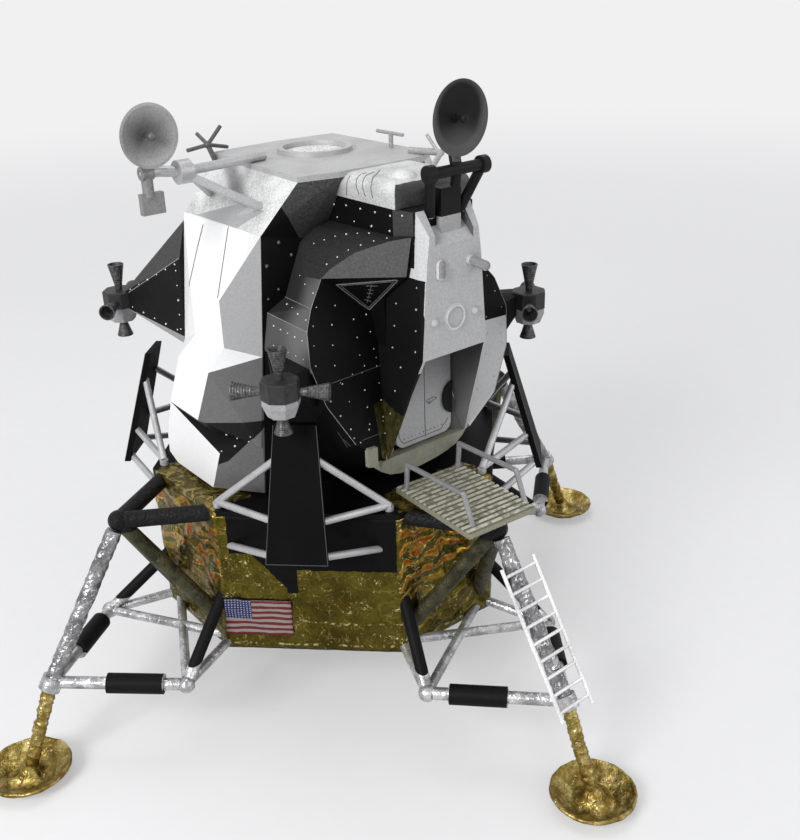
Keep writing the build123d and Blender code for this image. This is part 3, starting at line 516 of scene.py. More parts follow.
def panel_paint():
    """Grey front; its sides are black below and white above, olive foil low to starboard."""
    p = Paint("panel_paint")
    black_top, rim_top, lintel, cheek_foot = 74.3, 61.0, 63.0, 77.0
    boss_front, boss_half, peg_front, port_side = -31.3, 5.6, -31.95, 2.8
    wall = abs(p.nx) > 0.85
    outer = wall * (p.x * p.nx > 0.0)
    rim = (p.x < 0.0) * (p.z < rim_top) * (p.ny < -0.3)
    boss = (p.y < boss_front) * (abs(p.x) < boss_half)
    black = outer * (p.z < black_top) * (1.0 - boss) | rim
    colour = p.mix(grainy(p, 0.38, 0.48), dusty_black(p, 0.0035), black)
    colour = p.mix(colour, grainy(p, 0.46, 0.58), outer * (p.z > black_top))
    # Painted shade on the recess walls, deepest under the lintel
    recess = p.mix(grey(0.045, 0.046), grey(0.17), p.z.ramp(lintel - 0.5, 48.0))
    colour = p.mix(colour, recess, wall * (p.x * p.nx < 0.0) * (p.z < lintel))
    foil_edge = p.y * 0.27 + 61.4 + p.ragged(1.5, 0.8)
    colour = p.mix(colour, olive_foil(p), (outer | rim) * (p.x < 0.0) * (p.z < foil_edge))
    from_badge = p.vector(p.x, p.z - BADGE_LEVEL, 0.0).length()
    ring = abs(from_badge - BADGE_RADIUS) < 0.2
    colour = p.mix(colour, grey(0.60), ring * (p.ny < -0.5))
    # Painted shade on the inner face of the port cheek at the panel's top
    port_cheek = (p.nx < -0.9) * (p.x > port_side) * (p.z > cheek_foot)
    colour = p.mix(colour, grainy(p, 0.08, 0.13), port_cheek)
    peg = (p.y < peg_front) * (p.z > black_top + 0.1)
    colour = p.mix(colour, grainy(p, 0.20, 0.28), peg)
    return p.finish(colour, p.satin(0.46), 0.0, p.noise(0.3, 3.0, 0.7), 0.025, spec=0.12)


def hatch_paint():
    """Grey, in deeper shade towards the lintel."""
    p = Paint("hatch_paint")
    colour = p.mix(grainy(p, 0.34, 0.41), grainy(p, 0.17, 0.215), p.z.ramp(50.0, 61.0))
    return p.finish(colour, p.satin(0.5), 0.0, p.noise(0.3, 3.0), 0.02, spec=0.2)


def bay_paint():
    """White sides, grey front facets, black waist, a mist of silver on the upper front edge."""
    p = Paint("bay_paint")
    block_top, slope_foot, block_foot = 61.2, 57.0, BAY_WAIST_HIGH - 0.5
    colour = grainy(p, 0.70, 0.77)
    mist = p.y.ramp(-6.0, -10.5) * p.z.ramp(71.0, 79.0)
    colour = p.mix(colour, speckled_silver(p, grey(0.40), grey(0.80)), mist)
    front = p.ny < -0.4
    colour = p.mix(colour, grainy(p, 0.285, 0.335), front * (p.z > slope_foot))
    colour = p.mix(colour, grainy(p, 0.125, 0.155), front * (p.z < block_top) * (p.z > block_foot))
    waist = (p.z > BAY_WAIST_LOW) * (p.z < BAY_WAIST_HIGH)
    colour = p.mix(colour, dusty_black(p, 0.004), waist * (abs(p.nz) > 0.6))
    colour = p.mix(colour, grainy(p, 0.035, 0.055), waist * (p.nz < -0.6) * (p.ny > -0.2))
    low = front * (p.z < block_foot)
    colour = p.mix(colour, grainy(p, 0.13, 0.17), low)
    colour = p.mix(colour, dusty_black(p, 0.004), low * (p.z + abs(p.x) * 0.92 > 68.4))
    return p.finish(colour, 0.44 + p.noise(0.4) * 0.12, 0.0, p.noise(0.4, 3.0, 0.6), 0.02, spec=0.2)


def boom_paint():
    """Near black fairings, a little lighter above and grey below at the back."""
    p = Paint("boom_paint")
    upper = (p.nz > 0.15) * (abs(p.nx) > 0.8)
    colour = p.mix(dusty_black(p, 0.0075), grainy(p, 0.045, 0.072), upper)
    colour = p.mix(colour, grainy(p, 0.26, 0.33), (p.nz < -0.2) * (p.y > 0.0))
    return p.finish(colour, p.satin(0.42), 0.0, p.noise(0.3, 3.0), 0.02, spec=0.08)


def deck_paint():
    """Black deck with crumpled gold foil along the leg faces."""
    p = Paint("deck_paint")
    inner_edge, half_width = 23.0, 9.0
    reach = p.out() + p.ragged(2.5, 4.0)
    across = p.beside() + p.ragged(2.2, 5.0)
    foil = (reach > inner_edge) * (across < half_width)
    crumples = p.creases(2.0, 0.9)
    lit = crumples.ramp(0.45, 0.98) * p.noise(1.6, 2.0).ramp(0.35, 0.6)
    gold = p.mix((0.085, 0.065, 0.013), (0.40, 0.30, 0.08), lit)
    colour = p.mix(dusty_black(p, 0.004), gold, foil)
    height = (crumples + p.creases(0.8) * 0.3) * foil + p.noise(0.4, 3.0) * 0.1
    return p.finish(colour, 0.45 - foil * 0.12, foil * 0.85, height, 0.16, spec=0.06)


def outrigger_paint():
    """Black crumpled beams above, olive foil on the braces below."""
    p = Paint("outrigger_paint")
    brace_top = 36.1
    brace = p.z < brace_top
    crumples = p.creases(1.3, 0.8) * 0.7 + p.creases(0.5) * 0.4
    olive = p.mix((0.024, 0.023, 0.012), (0.070, 0.066, 0.036), p.noise(2.2, 3.0).ramp(0.30, 0.70))
    colour = p.mix(dusty_black(p, 0.006), olive, brace)
    return p.finish(colour, p.satin(0.34), brace * 0.4, crumples, 0.16, spec=0.12)


def side_frame_paint():
    """Silver foil, with the black sleeves and lock struts picked out by place on any leg."""
    p, foil, rough, height = silver_foil("side_frame_paint", 0.30, 0.58)
    sleeve_start, sleeve_end, sleeve_radius = 3.4, 12.0, 1.75
    lock_foot, lock_reach = 16.3, 2.9
    reach = p.out() - KNEE_REACH
    across = KNEE_ACROSS - p.beside()
    # Along and off the side strut, which runs from the knee to the leg's foot
    strut_out, strut_across = 0.768, 0.640
    along = reach * strut_out + across * strut_across
    off = abs(reach * strut_across - across * strut_out)
    sleeve = (along > sleeve_start) * (along < sleeve_end) * (off < sleeve_radius)
    lock = (p.z > lock_foot) * (reach < lock_reach)
    black = sleeve | lock
    colour = p.mix(foil, dusty_black(p, 0.005), black)
    rough = rough + black * 0.2
    return p.finish(colour, rough, 0.7 - black * 0.7, height * (1.0 - black * 0.8), 0.10, spec=0.08)


def pad_paint():
    """Gold foil pressed over the footpads: smooth pale patches, amber folds."""
    p = Paint("pad_foil")
    dull, gold, pale = (0.115, 0.075, 0.012), (0.25, 0.185, 0.045), (0.50, 0.40, 0.16)
    fold = p.creases(1.3, 0.9)
    colour = p.ramp(p.noise(2.4, 3.0, 0.6), (0.32, dull), (0.5, gold), (0.68, pale))
    colour = p.mix(colour, (0.20, 0.055, 0.004), fold.ramp(0.75, 1.0) * p.noise(1.6).ramp(0.5, 0.62) * 0.8)
    glint = p.creases(0.6, 0.5).ramp(0.88, 1.0) * p.noise(1.0, 2.0).ramp(0.52, 0.66)
    colour = p.mix(colour, (0.95, 0.86, 0.55), glint * 0.8)
    return p.finish(colour, 0.25 + p.noise(0.5) * 0.22, 0.92, fold * 0.6 + p.creases(0.6) * 0.35, 0.10)


def platform_paint():
    """Dull olive tread: pale crests, dark troughs."""
    p = Paint("platform_paint")
    tread = 40.5
    colour = p.mix((0.20, 0.195, 0.145), (0.30, 0.29, 0.215), p.noise(0.35, 3.0, 0.7).ramp(0.3, 0.7))
    crest = (p.z > tread + 0.05) * p.noise(1.0, 2.0).ramp(0.35, 0.55)
    colour = p.mix(colour, (0.66, 0.65, 0.54), crest * 0.85)
    trough = (p.z < tread) * (p.nz > 0.5)
    colour = p.mix(colour, (0.16, 0.155, 0.105), trough * 0.7)
    return p.finish(colour, 0.42, 0.3, p.noise(0.35, 3.0, 0.7), 0.03)


def thruster_paints():
    """Gunmetal for the bells, near black for the block, pale grey for its chin."""
    p = Paint("thruster_bell")
    colour = p.mix(grey(0.040, 0.041), grey(0.16), p.noise(0.5, 3.0, 0.7).ramp(0.35, 0.8))
    bell_paint = p.finish(colour, p.satin(0.34), 0.55, p.noise(0.3, 3.0), 0.01)
    block_paint = plain("thruster_block", grey(0.022, 0.023), 0.42, spread=0.4, depth=0.01)
    chin_paint = plain("thruster_chin", grey(0.30, 0.305), depth=0.01)
    return [bell_paint, block_paint, chin_paint]


def dish_paint():
    """Silver dish with painted shade deepening towards the middle of its hollow face, on a duller post."""
    p = Paint("dish_paint")
    post_top = 89.4
    # Painted shade in the dish's hollow: dark in the middle, lighter towards the rim
    middle = speckled_silver(p, grey(0.075), grey(0.13))
    rim = speckled_silver(p, grey(0.24), grey(0.40))
    dish = p.mix(middle, rim, p.away(DISH_MIDDLE).ramp(1.0, 4.4))
    post = speckled_silver(p, grey(0.16), grey(0.27))
    colour = p.mix(post, dish, p.z > post_top)
    return p.finish(colour, p.satin(0.36), 0.35, p.noise(0.25, 3.0), 0.03)


def small_antenna_paint():
    """Dark grey cross to starboard, silver rods elsewhere."""
    p = Paint("small_antenna_paint")
    cross_side = -8.0
    cross = (p.x < cross_side) * (p.y > 0.0)
    colour = p.mix(speckled_silver(p, grey(0.24), grey(0.46)), grainy(p, 0.055, 0.12), cross)
    return p.finish(colour, p.satin(0.38), 0.3, p.noise(0.25, 3.0), 0.02)


def radar_black():
    """Black paint with a painted grey sheen on the dish's face towards rim and foot; the yoke's foot is pale
    grey.
    """
    p = Paint("radar_black")
    foot_top, foot_front, dish_foot = 82.2, -30.5, 89.6
    foot = (p.z < foot_top) * (p.y > foot_front)
    colour = p.mix(dusty_black(p, 0.008), grainy(p, 0.30, 0.38), foot)
    # Painted sheen: grey towards the rim of the dish's face and lighter towards its foot
    painted_sheen = p.away(RADAR_MIDDLE).ramp(3.3, 4.5) * 0.9 | p.z.ramp(95.0, 91.5) * 0.7
    colour = p.mix(colour, grey(0.085), painted_sheen * (p.ny < -0.3) * (p.z > dish_foot))
    return p.finish(colour, p.satin(0.40, 0.8), 0.0, p.noise(0.3, 3.0), 0.02, spec=0.12)


def deflector_paint():
    """Flat black plates."""
    p = Paint("deflector_paint")
    return p.finish(dusty_black(p, 0.003), p.satin(0.46, 0.8), 0.0, p.noise(0.3, 3.0), 0.02, spec=0.04)


def flag_paint():
    """Plain flag: striped field with a blue corner of white dots."""
    p = Paint("flag_paint")
    stripes, dots_along, dots_up = 13, 22.0, 16.0
    corner_length, corner_foot, dot_area = 0.41, 0.46, 0.07
    along = ((p.x - p.y) * DIAGONAL - FLAG_LEFT) * (1.0 / FLAG_LENGTH)
    up = (p.z - FLAG_FOOT) * (1.0 / FLAG_HEIGHT)
    red = (up * (stripes / 2)).wrap(1.0) < 0.5
    # Stripes, corner and dots are the flag's print, kept dark all over as painted shade from the deflector
    # above
    colour = p.mix((0.23, 0.195, 0.185), (0.105, 0.011, 0.011), red)
    corner = (along < corner_length) * (up > corner_foot)
    across = abs((along * dots_along).wrap(1.0) - 0.5)
    down = abs((up * dots_up).wrap(1.0) - 0.5)
    white = (across * across + down * down) < dot_area
    colour = p.mix(colour, (0.012, 0.016, 0.075), corner)
    colour = p.mix(colour, grey(0.27, 0.30), corner * white)
    return p.finish(colour, 0.45, 0.0, p.noise(0.8, 2.0), 0.05, spec=0.2)


GOLD = gold_foil()
SILVER_BRIGHT = silver_paint("silver_paint", grey(0.52), grey(0.88))
ROOF = roof_paint()
DARK = plain("nozzle_grey", grey(0.06), 0.45, 0.3)
CREAM = plain("sill_cream", (0.21, 0.207, 0.165))
PALE_DOT = plain("pale_dot", grey(0.66, 0.65), depth=0.0)
FACE_DOT = plain("face_dot", grey(0.42), depth=0.0)
SOFT_DOT = plain("soft_dot", grey(0.11), 0.6, depth=0.0)
PALE_LINE = plain("pale_line", grey(0.24), depth=0.0)
FRAME_LINE = plain("frame_line", grey(0.11), depth=0.0)
FAINT_LINE = plain("faint_line", grey(0.055, 0.056), depth=0.0)
DARK_LINE = plain("dark_line", grey(0.07, 0.08), depth=0.0)
BLACK = plain("hatch_black", grey(0.008), depth=0.0, spec=0.1)
PANEL = panel_paint()
BAY = bay_paint()
BOOM = boom_paint()
DEFLECTOR = deflector_paint()
OUTRIGGER = outrigger_paint()
SIDE_FRAME = side_frame_paint()
PAD_FOIL = pad_paint()
THRUSTER = thruster_paints()
RADAR = radar_black()
TUBE_SILVER = silver_paint("tube_silver", grey(0.33, 0.335), grey(0.50, 0.51), 0.30)
RAIL_GREY = silver_paint("rail_grey", grey(0.20, 0.205), grey(0.32, 0.325), 0.32)


def dress(material, *names):
    """Gives nodes a material in all their slots."""
    for name in names:
        for slot in nodes[name].material_slots:
            slot.material = material


dress(midsection_paint(), "midsection")
dress(cabin_paint(), "cabin")
dress(PANEL, "front_panel")
dress(hatch_paint(), "hatch")
dress(BAY, "tank_bay_starboard", "tank_bay_port")
dress(BOOM, "aft_bay", *["boom_" + corner for corner in CORNERS])
dress(ROOF, "roof_plate", "docking_ring")
dress(fairing_paint(), "roof_fairing")
dress(SILVER_BRIGHT, "ladder")
dress(TUBE_SILVER, "antenna_arm", "deflector_stays")
dress(RAIL_GREY, "platform_rails")
dress(small_antenna_paint(), "small_antennas")
dress(dish_paint(), "dish_antenna")
dress(RADAR, "radar_yoke", "radar_antenna")
dress(DARK, "engine_bell")
dress(DEFLECTOR, *["deflector_" + corner for corner in CORNERS])
dress(OUTRIGGER, *["outrigger_" + leg for leg in LEGS])
dress(SIDE_FRAME, *["side_frame_" + leg for leg in LEGS])
dress(deck_paint(), "descent_deck")
dress(platform_paint(), "platform")


# Pieces
def piece(name, points, faces, materials, body, smooth=False, marks=None):
    """Mesh piece from points in mm, at home on a body. marks gives each face's material."""
    mesh = bpy.data.meshes.new(name)
    mesh.from_pydata([Vector(point) * MM for point in points], [], faces)
    for material in materials:
        mesh.materials.append(material)
    if marks:
        mesh.polygons.foreach_set("material_index", marks)
    mesh.polygons.foreach_set("use_smooth", [smooth] * len(faces))
    work = bmesh.new()
    work.from_mesh(mesh)
    bmesh.ops.recalc_face_normals(work, faces=work.faces)
    work.to_mesh(mesh)
    work.free()
    made = bpy.data.objects.new(name, mesh)
    SCENE.collection.objects.link(made)
    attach(made, body)
    return made


def crumple(point, size, depth, seed):
    """Push of crumpled foil at a point, in mm: sharp folds of two sizes."""
    finer, broad_share, fine_share, middle = 2.7, 0.7, 0.3, 0.45
    place = Vector(point) / size + Vector((seed * 7.3, seed * 3.1, seed * 5.7))
    broad = 1.0 - abs(noise.noise(place)) * 2.2
    fine = 1.0 - abs(noise.noise(place * finer + Vector((9.0, 2.0, 4.0)))) * 2.0
    return depth * (broad * broad_share + fine * fine_share - middle)


def turned(profile, sides, offset=0.0):
    """Points and faces of a closed shape turned round Z, from radius and height in mm."""
    points, faces, rings = [], [], []
    for radius, height in profile:
        count = sides if radius else 1
        rings.append([len(points) + i for i in range(count)])
        for i in range(count):
            angle = math.tau * (i + offset) / sides
            points.append(Vector((math.cos(angle) * radius, math.sin(angle) * radius, height)))
    for low, high in zip(rings, rings[1:]):
        for i in range(sides):
            j = (i + 1) % sides
            if len(low) == 1:
                faces.append((low[0], high[j], high[i]))
            elif len(high) == 1:
                faces.append((low[i], low[j], high[0]))
            else:
                faces.append((low[i], low[j], high[j], high[i]))
    return points, faces


def bar(outline, front, back):
    """Points and faces of an outline in X and Z, drawn out along Y."""
    count = len(outline)
    points = [Vector((x, y, z)) for y in (front, back) for x, z in outline]
    faces = [tuple(range(count)), tuple(range(count, 2 * count))]
    faces += [(i, (i + 1) % count, (i + 1) % count + count, i + count) for i in range(count)]
    return points, faces


def about_z(degrees):
    """Turn in degrees about the model's upright axis."""
    return Matrix.Rotation(math.radians(degrees), 3, "Z")


def evenly(start, end, steps):
    """Places after start up to end, in even steps."""
    return [tuple(a + (b - a) * i / steps for a, b in zip(start, end)) for i in range(1, steps + 1)]


def joined(*shells):
    """One list of points and one of faces from several closed shapes."""
    points, faces = [], []
    for more, sides in shells:
        faces += [tuple(i + len(points) for i in face) for face in sides]
        points += more
    return points, faces


def foil_columns():
    """Places round the eight faces, each with its face's outward way, its inset and its fold depth."""
    spacing = 0.5
    outline = []
    for turn in range(4):
        for side in (-FOIL_HALF, FOIL_HALF):
            outline.append(about_z(90 * turn) @ Vector((FOIL_REACH, side, 0.0)))
    columns = []
    for number, (start, end) in enumerate(zip(outline, outline[1:] + outline[:1])):
        steps = max(2, round((end - start).length / spacing))
        out = Vector((end.y - start.y, start.x - end.x, 0.0)).normalized()
        depth = LEG_FACE_DEPTH if number % 2 == 0 else DIAGONAL_DEPTH
        for i in range(steps):
            columns.append((start.lerp(end, i / steps), out, min(i, steps - i) / steps, depth))
    return columns


def foil_body():
    """Gold foil wrapped round the lower stage's eight faces, closed above and below."""
    columns, rows = foil_columns(), 48
    lift, hem_rows, corner_fade, least = 0.04, 3.0, 12.0, 0.25
    points, faces = [], []
    for row in range(rows + 1):
        z = FOIL_LOW + (FOIL_HIGH - FOIL_LOW) * row / rows
        for place, out, inset, depth in columns:
            spot = Vector((place.x, place.y, z))
            # Folds die away at the corners and at the two hems
            free = min(1.0, inset * corner_fade) * min(1.0, row / hem_rows, (rows - row) / hem_rows)
            push = crumple(spot, FOIL_FOLD, depth, FOIL_SEED) * (least + (1.0 - least) * free)
            points.append(spot + out * (push + lift))
    count = len(columns)
    for row in range(rows):
        for i in range(count):
            j = (i + 1) % count
            a, b = row * count, (row + 1) * count
            faces.append((a + i, a + j, b + j, b + i))
    faces.append(tuple(range(count)))
    faces.append(tuple(rows * count + i for i in range(count)))
    skin = piece("foil_body", points, faces, [GOLD], "descent_stage", smooth=True)
    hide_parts("descent_body")


foil_body()


def flag():
    """Striped decal on the foil below the near deflector, rippled as the foil is."""
    points, faces = [], []
    columns, rows = 22, 14
    for out in (FLAG_OUT, FLAG_OUT + FLAG_THICK):
        for row in range(rows + 1):
            for column in range(columns + 1):
                along = FLAG_LEFT + FLAG_LENGTH * column / columns
                z = FLAG_FOOT + FLAG_HEIGHT * row / rows
                spot = Vector(((along - out) * DIAGONAL, (-out - along) * DIAGONAL, z))
                ripple = crumple(spot, FOIL_FOLD, DIAGONAL_DEPTH, FOIL_SEED) * DIAGONAL
                points.append(spot - Vector((ripple, ripple, 0.0)))
    sheet = (columns + 1) * (rows + 1)
    for row in range(rows):
        for column in range(columns):
            a = row * (columns + 1) + column
            b = a + columns + 1
            faces.append((a, a + 1, b + 1, b))
            faces.append((sheet + a, sheet + b, sheet + b + 1, sheet + a + 1))
    around = [(0, c) for c in range(columns)] + [(r, columns) for r in range(rows)]
    around += [(rows, columns - c) for c in range(columns)] + [(rows - r, 0) for r in range(rows)]
    rim = [row * (columns + 1) + column for row, column in around]
    for a, b in zip(rim, rim[1:] + rim[:1]):
        faces.append((a, b, sheet + b, sheet + a))
    piece("flag_decal", points, faces, [flag_paint()], "descent_stage", smooth=True)


flag()


def foil_tube(start, end, radius, depth, seed=0, rings=0.0):
    """Points and faces of a tube wrapped in crumpled foil, with ring folds of a given depth."""
    spacing, sides, fold_size, ring_pace = 0.36, 20, 1.3, 2.1
    start, end = Vector(start), Vector(end)
    run = end - start
    turn = run.to_track_quat("Z", "Y").to_matrix()
    steps = max(4, round(run.length / spacing))
    points, faces = [], []
    for step in range(steps + 1):
        centre = start + run * step / steps
        fold = rings * math.sin(step * ring_pace + noise.noise(centre) * 4.0)
        for i in range(sides):
            angle = math.tau * (i + 0.5 * (step % 2)) / sides
            away = turn @ Vector((math.cos(angle), math.sin(angle), 0.0))
            spot = centre + away * radius
            points.append(spot + away * (crumple(spot, fold_size, depth, seed + 2) + fold))
    for step in range(steps):
        for i in range(sides):
            j = (i + 1) % sides
            a, b = step * sides, (step + 1) * sides
            faces.append((a + i, a + j, b + j, b + i))
    faces.append(tuple(range(sides)))
    faces.append(tuple(steps * sides + i for i in range(sides)))
    return points, faces


def strut_foil():
    """Crumpled silver foil for the primary struts."""
    p, colour, rough, height = silver_foil("strut_foil", 0.14, 0.30)
    return p.finish(colour, rough, 0.75, height, 0.08)


STRUT_FOIL = strut_foil()

# A leg's places in mm before it is turned to its own side, and its tubes' radii
PAD_REACH, PAD_RADIUS = 60.75, 6.44
STRUT_TOP, STRUT_FOOT, STRUT_RADIUS = (41.2, 0.0, 36.3), (55.25, 0.0, 14.38), 1.2
PISTON_TOP, PISTON_FOOT, PISTON_RADIUS = (55.0, 0.0, 15.0), (PAD_REACH, 0.0, 1.4), 0.98


def pad_dish(seed):
    """Footpad pressed in foil: flat foot, flared wall, rolled rim and a crumpled floor."""
    foot = [(0.0, 0.0), (2.0, 0.0), (3.5, 0.0), (3.8, 0.12)]
    wall = evenly(foot[-1], (6.35, 1.77), 8)
    rim = [(PAD_RADIUS, 1.95), (PAD_RADIUS, 2.15), (6.36, 2.28), (6.2, 2.3), (6.02, 2.2)]
    floor = evenly(rim[-1], (3.32, 0.58), 9)
    boss = [(2.9, 0.56), (2.4, 0.62), (1.95, 0.9), (1.6, 1.5), (1.25, 2.3), (0.6, 2.5), (0.0, 2.5)]
    points, faces = turned(foot + wall + rim + floor + boss, 72)
    thinnest = foot[-1][1]
    for point in points:
        radius = math.hypot(point.x, point.y)
        if radius > 1.0 and point.z > 0.3:
            edge = min(1.0, (PAD_RADIUS - radius) * 1.2 + 0.25)
            push = crumple(point, 2.6, 0.42, seed) * edge + crumple(point, 0.9, 0.10, seed + 5)
            shrink = 1.0 - max(0.0, crumple(point, 3.0, 0.30, seed + 9)) / PAD_RADIUS
            point.x *= shrink
            point.y *= shrink
            point.z = max(point.z + push, thinnest)
    return [point + Vector((PAD_REACH, 0.0, 0.0)) for point in points], faces


def wrapped_legs():
    """Foil on each leg: silver round the strut's sleeve, gold on the piston and its pad."""
    body = "descent_stage"
    for number, (leg, turn) in enumerate(LEGS.items()):
        spin = about_z(turn)
        points, faces = foil_tube(STRUT_TOP, STRUT_FOOT, STRUT_RADIUS, 0.22, number)
        points = [spin @ point for point in points]
        tube = piece("strut_foil_" + leg, points, faces, [STRUT_FOIL], body)
        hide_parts("primary_strut_" + leg)
        piston = foil_tube(PISTON_TOP, PISTON_FOOT, PISTON_RADIUS, 0.24, number + 4, 0.10)
        points, faces = joined(pad_dish(number), piston)
        points = [spin @ point for point in points]
        pad = piece("pad_foil_" + leg, points, faces, [PAD_FOIL], body, smooth=True)
        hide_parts("footpad_" + leg)


wrapped_legs()


# Thruster clusters: block, chin and four ribbed bells; the level bells point along the hull
CLUSTER_PLACES = {"port_aft": (24.2, 24.2, 63.2), "starboard_aft": (-24.2, 24.2, 63.2),
                  "starboard_front": (-24.6, -23.6, 61.6), "port_front": (23.6, -23.3, 63.0)}
BLOCK_RADIUS = 2.76
THROAT_RADIUS, MOUTH_RADIUS, RIB = 0.5, 1.3, 0.05

# Each bell's start and mouth, out from the block's middle, and its tilt from straight up
BELLS = ((1.6, 6.1, 0), (3.2, 6.1, 180), (2.3, 6.7, 90), (2.3, 6.7, -90))


def bell(start, mouth):
    """Ribbed bell along +Z, open at its mouth."""
    steps, smooth_share, flare = 24, 0.35, 1.25
    wall, hollow_depth = 0.17, 2.2
    profile = [(0.0, start)]
    for i in range(steps + 1):
        share = i / steps
        rib = RIB * (i % 2) * (share > smooth_share)
        radius = THROAT_RADIUS + (MOUTH_RADIUS - THROAT_RADIUS) * share ** flare + rib
        profile.append((radius, start + (mouth - start) * share))
    floor = mouth - hollow_depth
    profile += [(MOUTH_RADIUS - wall, mouth), (0.85, mouth - hollow_depth / 2), (0.34, floor), (0.0, floor)]
    return turned(profile, 24)


def cluster_shells():
    """Shells of one cluster and the paint of each: 0 bell, 1 block, 2 chin."""
    block = [(0.0, 1.8), (2.58, 1.8), (BLOCK_RADIUS, 1.66), (BLOCK_RADIUS, -0.9), (0.0, -0.9)]
    chin = [(0.0, -0.8), (2.66, -0.8), (2.70, -1.7), (2.02, -3.4), (0.0, -3.4)]
    shells = [(turned(block, 8, 0.5), 1), (turned(chin, 8, 0.5), 2)]
    for start, mouth, tilt in BELLS:
        points, faces = bell(start, mouth)
        lean = Matrix.Rotation(math.radians(tilt), 3, "X")
        shells.append((([lean @ point for point in points], faces), 0))
    return shells


def clusters():
    """Thruster clusters, each turned to its own corner of the upper stage."""
    shells = cluster_shells()
    home, faces = joined(*[shell for shell, paint in shells])
    marks = [paint for (points, sides), paint in shells for side in sides]
    for corner, place in CLUSTER_PLACES.items():
        spin = about_z(CORNERS[corner])
        points = [spin @ point + Vector(place) for point in home]
        name = "thruster_quad_" + corner
        made = piece(name, points, faces, THRUSTER, "ascent_stage", marks=marks)
        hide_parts("thrusters_" + corner)


clusters()


# Rows of dots and thin lines that follow a node's surface: the dots' spread of sizes, the lines' step
SMALLEST_DOT, LARGEST_DOT = 0.7, 1.25
LINE_STEP = 0.5 * MM


def geometry_tree(name, kinds):
    """Empty tree with a geometry socket and named inputs, each of the kind given for it."""
    tree = bpy.data.node_groups.new(name, "GeometryNodeTree")
    tree.interface.new_socket("Geometry", in_out="INPUT", socket_type="NodeSocketGeometry")
    for label, kind in kinds.items():
        tree.interface.new_socket(label, in_out="INPUT", socket_type="NodeSocket" + kind)
    tree.interface.new_socket("Geometry", in_out="OUTPUT", socket_type="NodeSocketGeometry")
    return tree


def snapped(tree, geometry, surface):
    """Moves points to the nearest place on the surface object."""
    own_space = {"transform_space": "ORIGINAL"}
    target = grow(tree, "GeometryNodeObjectInfo", own_space, {"Object": surface}, "Geometry")
    sought = {0: target, "Sample Position": grow(tree, "GeometryNodeInputPosition")}
    near = grow(tree, "GeometryNodeProximity", {"target_element": "FACES"}, sought, "Position")
    return grow(tree, "GeometryNodeSetPosition", {}, {"Geometry": geometry, "Position": near})


def closed_tree(tree, geometry, material):
    """Ends a tree: instances made real, then the material."""
    real = grow(tree, "GeometryNodeRealizeInstances", {}, {0: geometry})
    done = grow(tree, "GeometryNodeSetMaterial", {}, {0: real, "Material": material})
    add_node(tree, "NodeGroupOutput", {}, {0: done})
    return tree


def dot_tree():
    """Dots of paint at an even pitch along the paths, each of its own size."""
    kinds = {"Surface": "Object", "Pitch": "Float", "Radius": "Float", "Seed": "Int", "Material": "Material"}
    tree = geometry_tree("dot_rows", kinds)
    given = add_node(tree, "NodeGroupInput").outputs
    curve = grow(tree, "GeometryNodeMeshToCurve", {}, {0: given["Geometry"]})
    spacing = {0: curve, "Length": given["Pitch"]}
    places = grow(tree, "GeometryNodeCurveToPoints", {"mode": "LENGTH"}, spacing, "Points")
    ball = grow(tree, "GeometryNodeMeshIcoSphere", {}, {"Radius": given["Radius"], "Subdivisions": 2})
    spread = {2: SMALLEST_DOT, 3: LARGEST_DOT, "Seed": given["Seed"]}
    size = grow(tree, "FunctionNodeRandomValue", {"data_type": "FLOAT"}, spread, 1)
    parts = {"Points": snapped(tree, places, given["Surface"]), "Instance": ball, "Scale": size}
    placed = grow(tree, "GeometryNodeInstanceOnPoints", {}, parts)
    return closed_tree(tree, placed, given["Material"])


def line_tree():
    """Thin round wires along the paths, closed at their ends."""
    tree = geometry_tree("thin_lines", {"Surface": "Object", "Radius": "Float", "Material": "Material"})
    given = add_node(tree, "NodeGroupInput").outputs
    curve = grow(tree, "GeometryNodeMeshToCurve", {}, {0: given["Geometry"]})
    even = grow(tree, "GeometryNodeResampleCurve", {"mode": "LENGTH"}, {0: curve, "Length": LINE_STEP})
    ring = grow(tree, "GeometryNodeCurvePrimitiveCircle", {}, {"Resolution": 6, "Radius": given["Radius"]})
    parts = {"Curve": snapped(tree, even, given["Surface"]), "Profile Curve": ring, "Fill Caps": True}
    wire = grow(tree, "GeometryNodeCurveToMesh", {}, parts)
    return closed_tree(tree, wire, given["Material"])


DOTS = dot_tree()
LINES = line_tree()


def grown(name, tree, paths, sizes, body):
    """Runs a tree on paths of points in mm and keeps the result as a plain mesh."""
    points, edges = [], []
    for path in paths:
        first = len(points)
        points += [Vector(point) * MM for point in path]
        edges += [(first + i, first + i + 1) for i in range(len(path) - 1)]
    mesh = bpy.data.meshes.new(name + "_paths")
    mesh.from_pydata(points, edges, [])
    guide = bpy.data.objects.new(name + "_paths", mesh)
    SCENE.collection.objects.link(guide)
    modifier = guide.modifiers.new("grow", "NODES")
    modifier.node_group = tree
    sockets = {item.name: item.identifier for item in tree.interface.items_tree if item.in_out == "INPUT"}
    for label, value in sizes.items():
        modifier[sockets[label]] = value
    bpy.context.view_layer.update()
    ready = guide.evaluated_get(bpy.context.evaluated_depsgraph_get())
    made = bpy.data.objects.new(name, bpy.data.meshes.new_from_object(ready))
    bpy.data.objects.remove(guide)
    SCENE.collection.objects.link(made)
    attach(made, body)


def dots(name, node, paths, pitch, radius, seed, material=PALE_DOT):
    """Rows of dots on a node of the upper stage. The pitch and the radius are in mm."""
    sizes = {"Surface": nodes[node], "Pitch": pitch * MM, "Radius": radius * MM}
    sizes.update({"Seed": seed, "Material": material})
    grown(name, DOTS, paths, sizes, "ascent_stage")


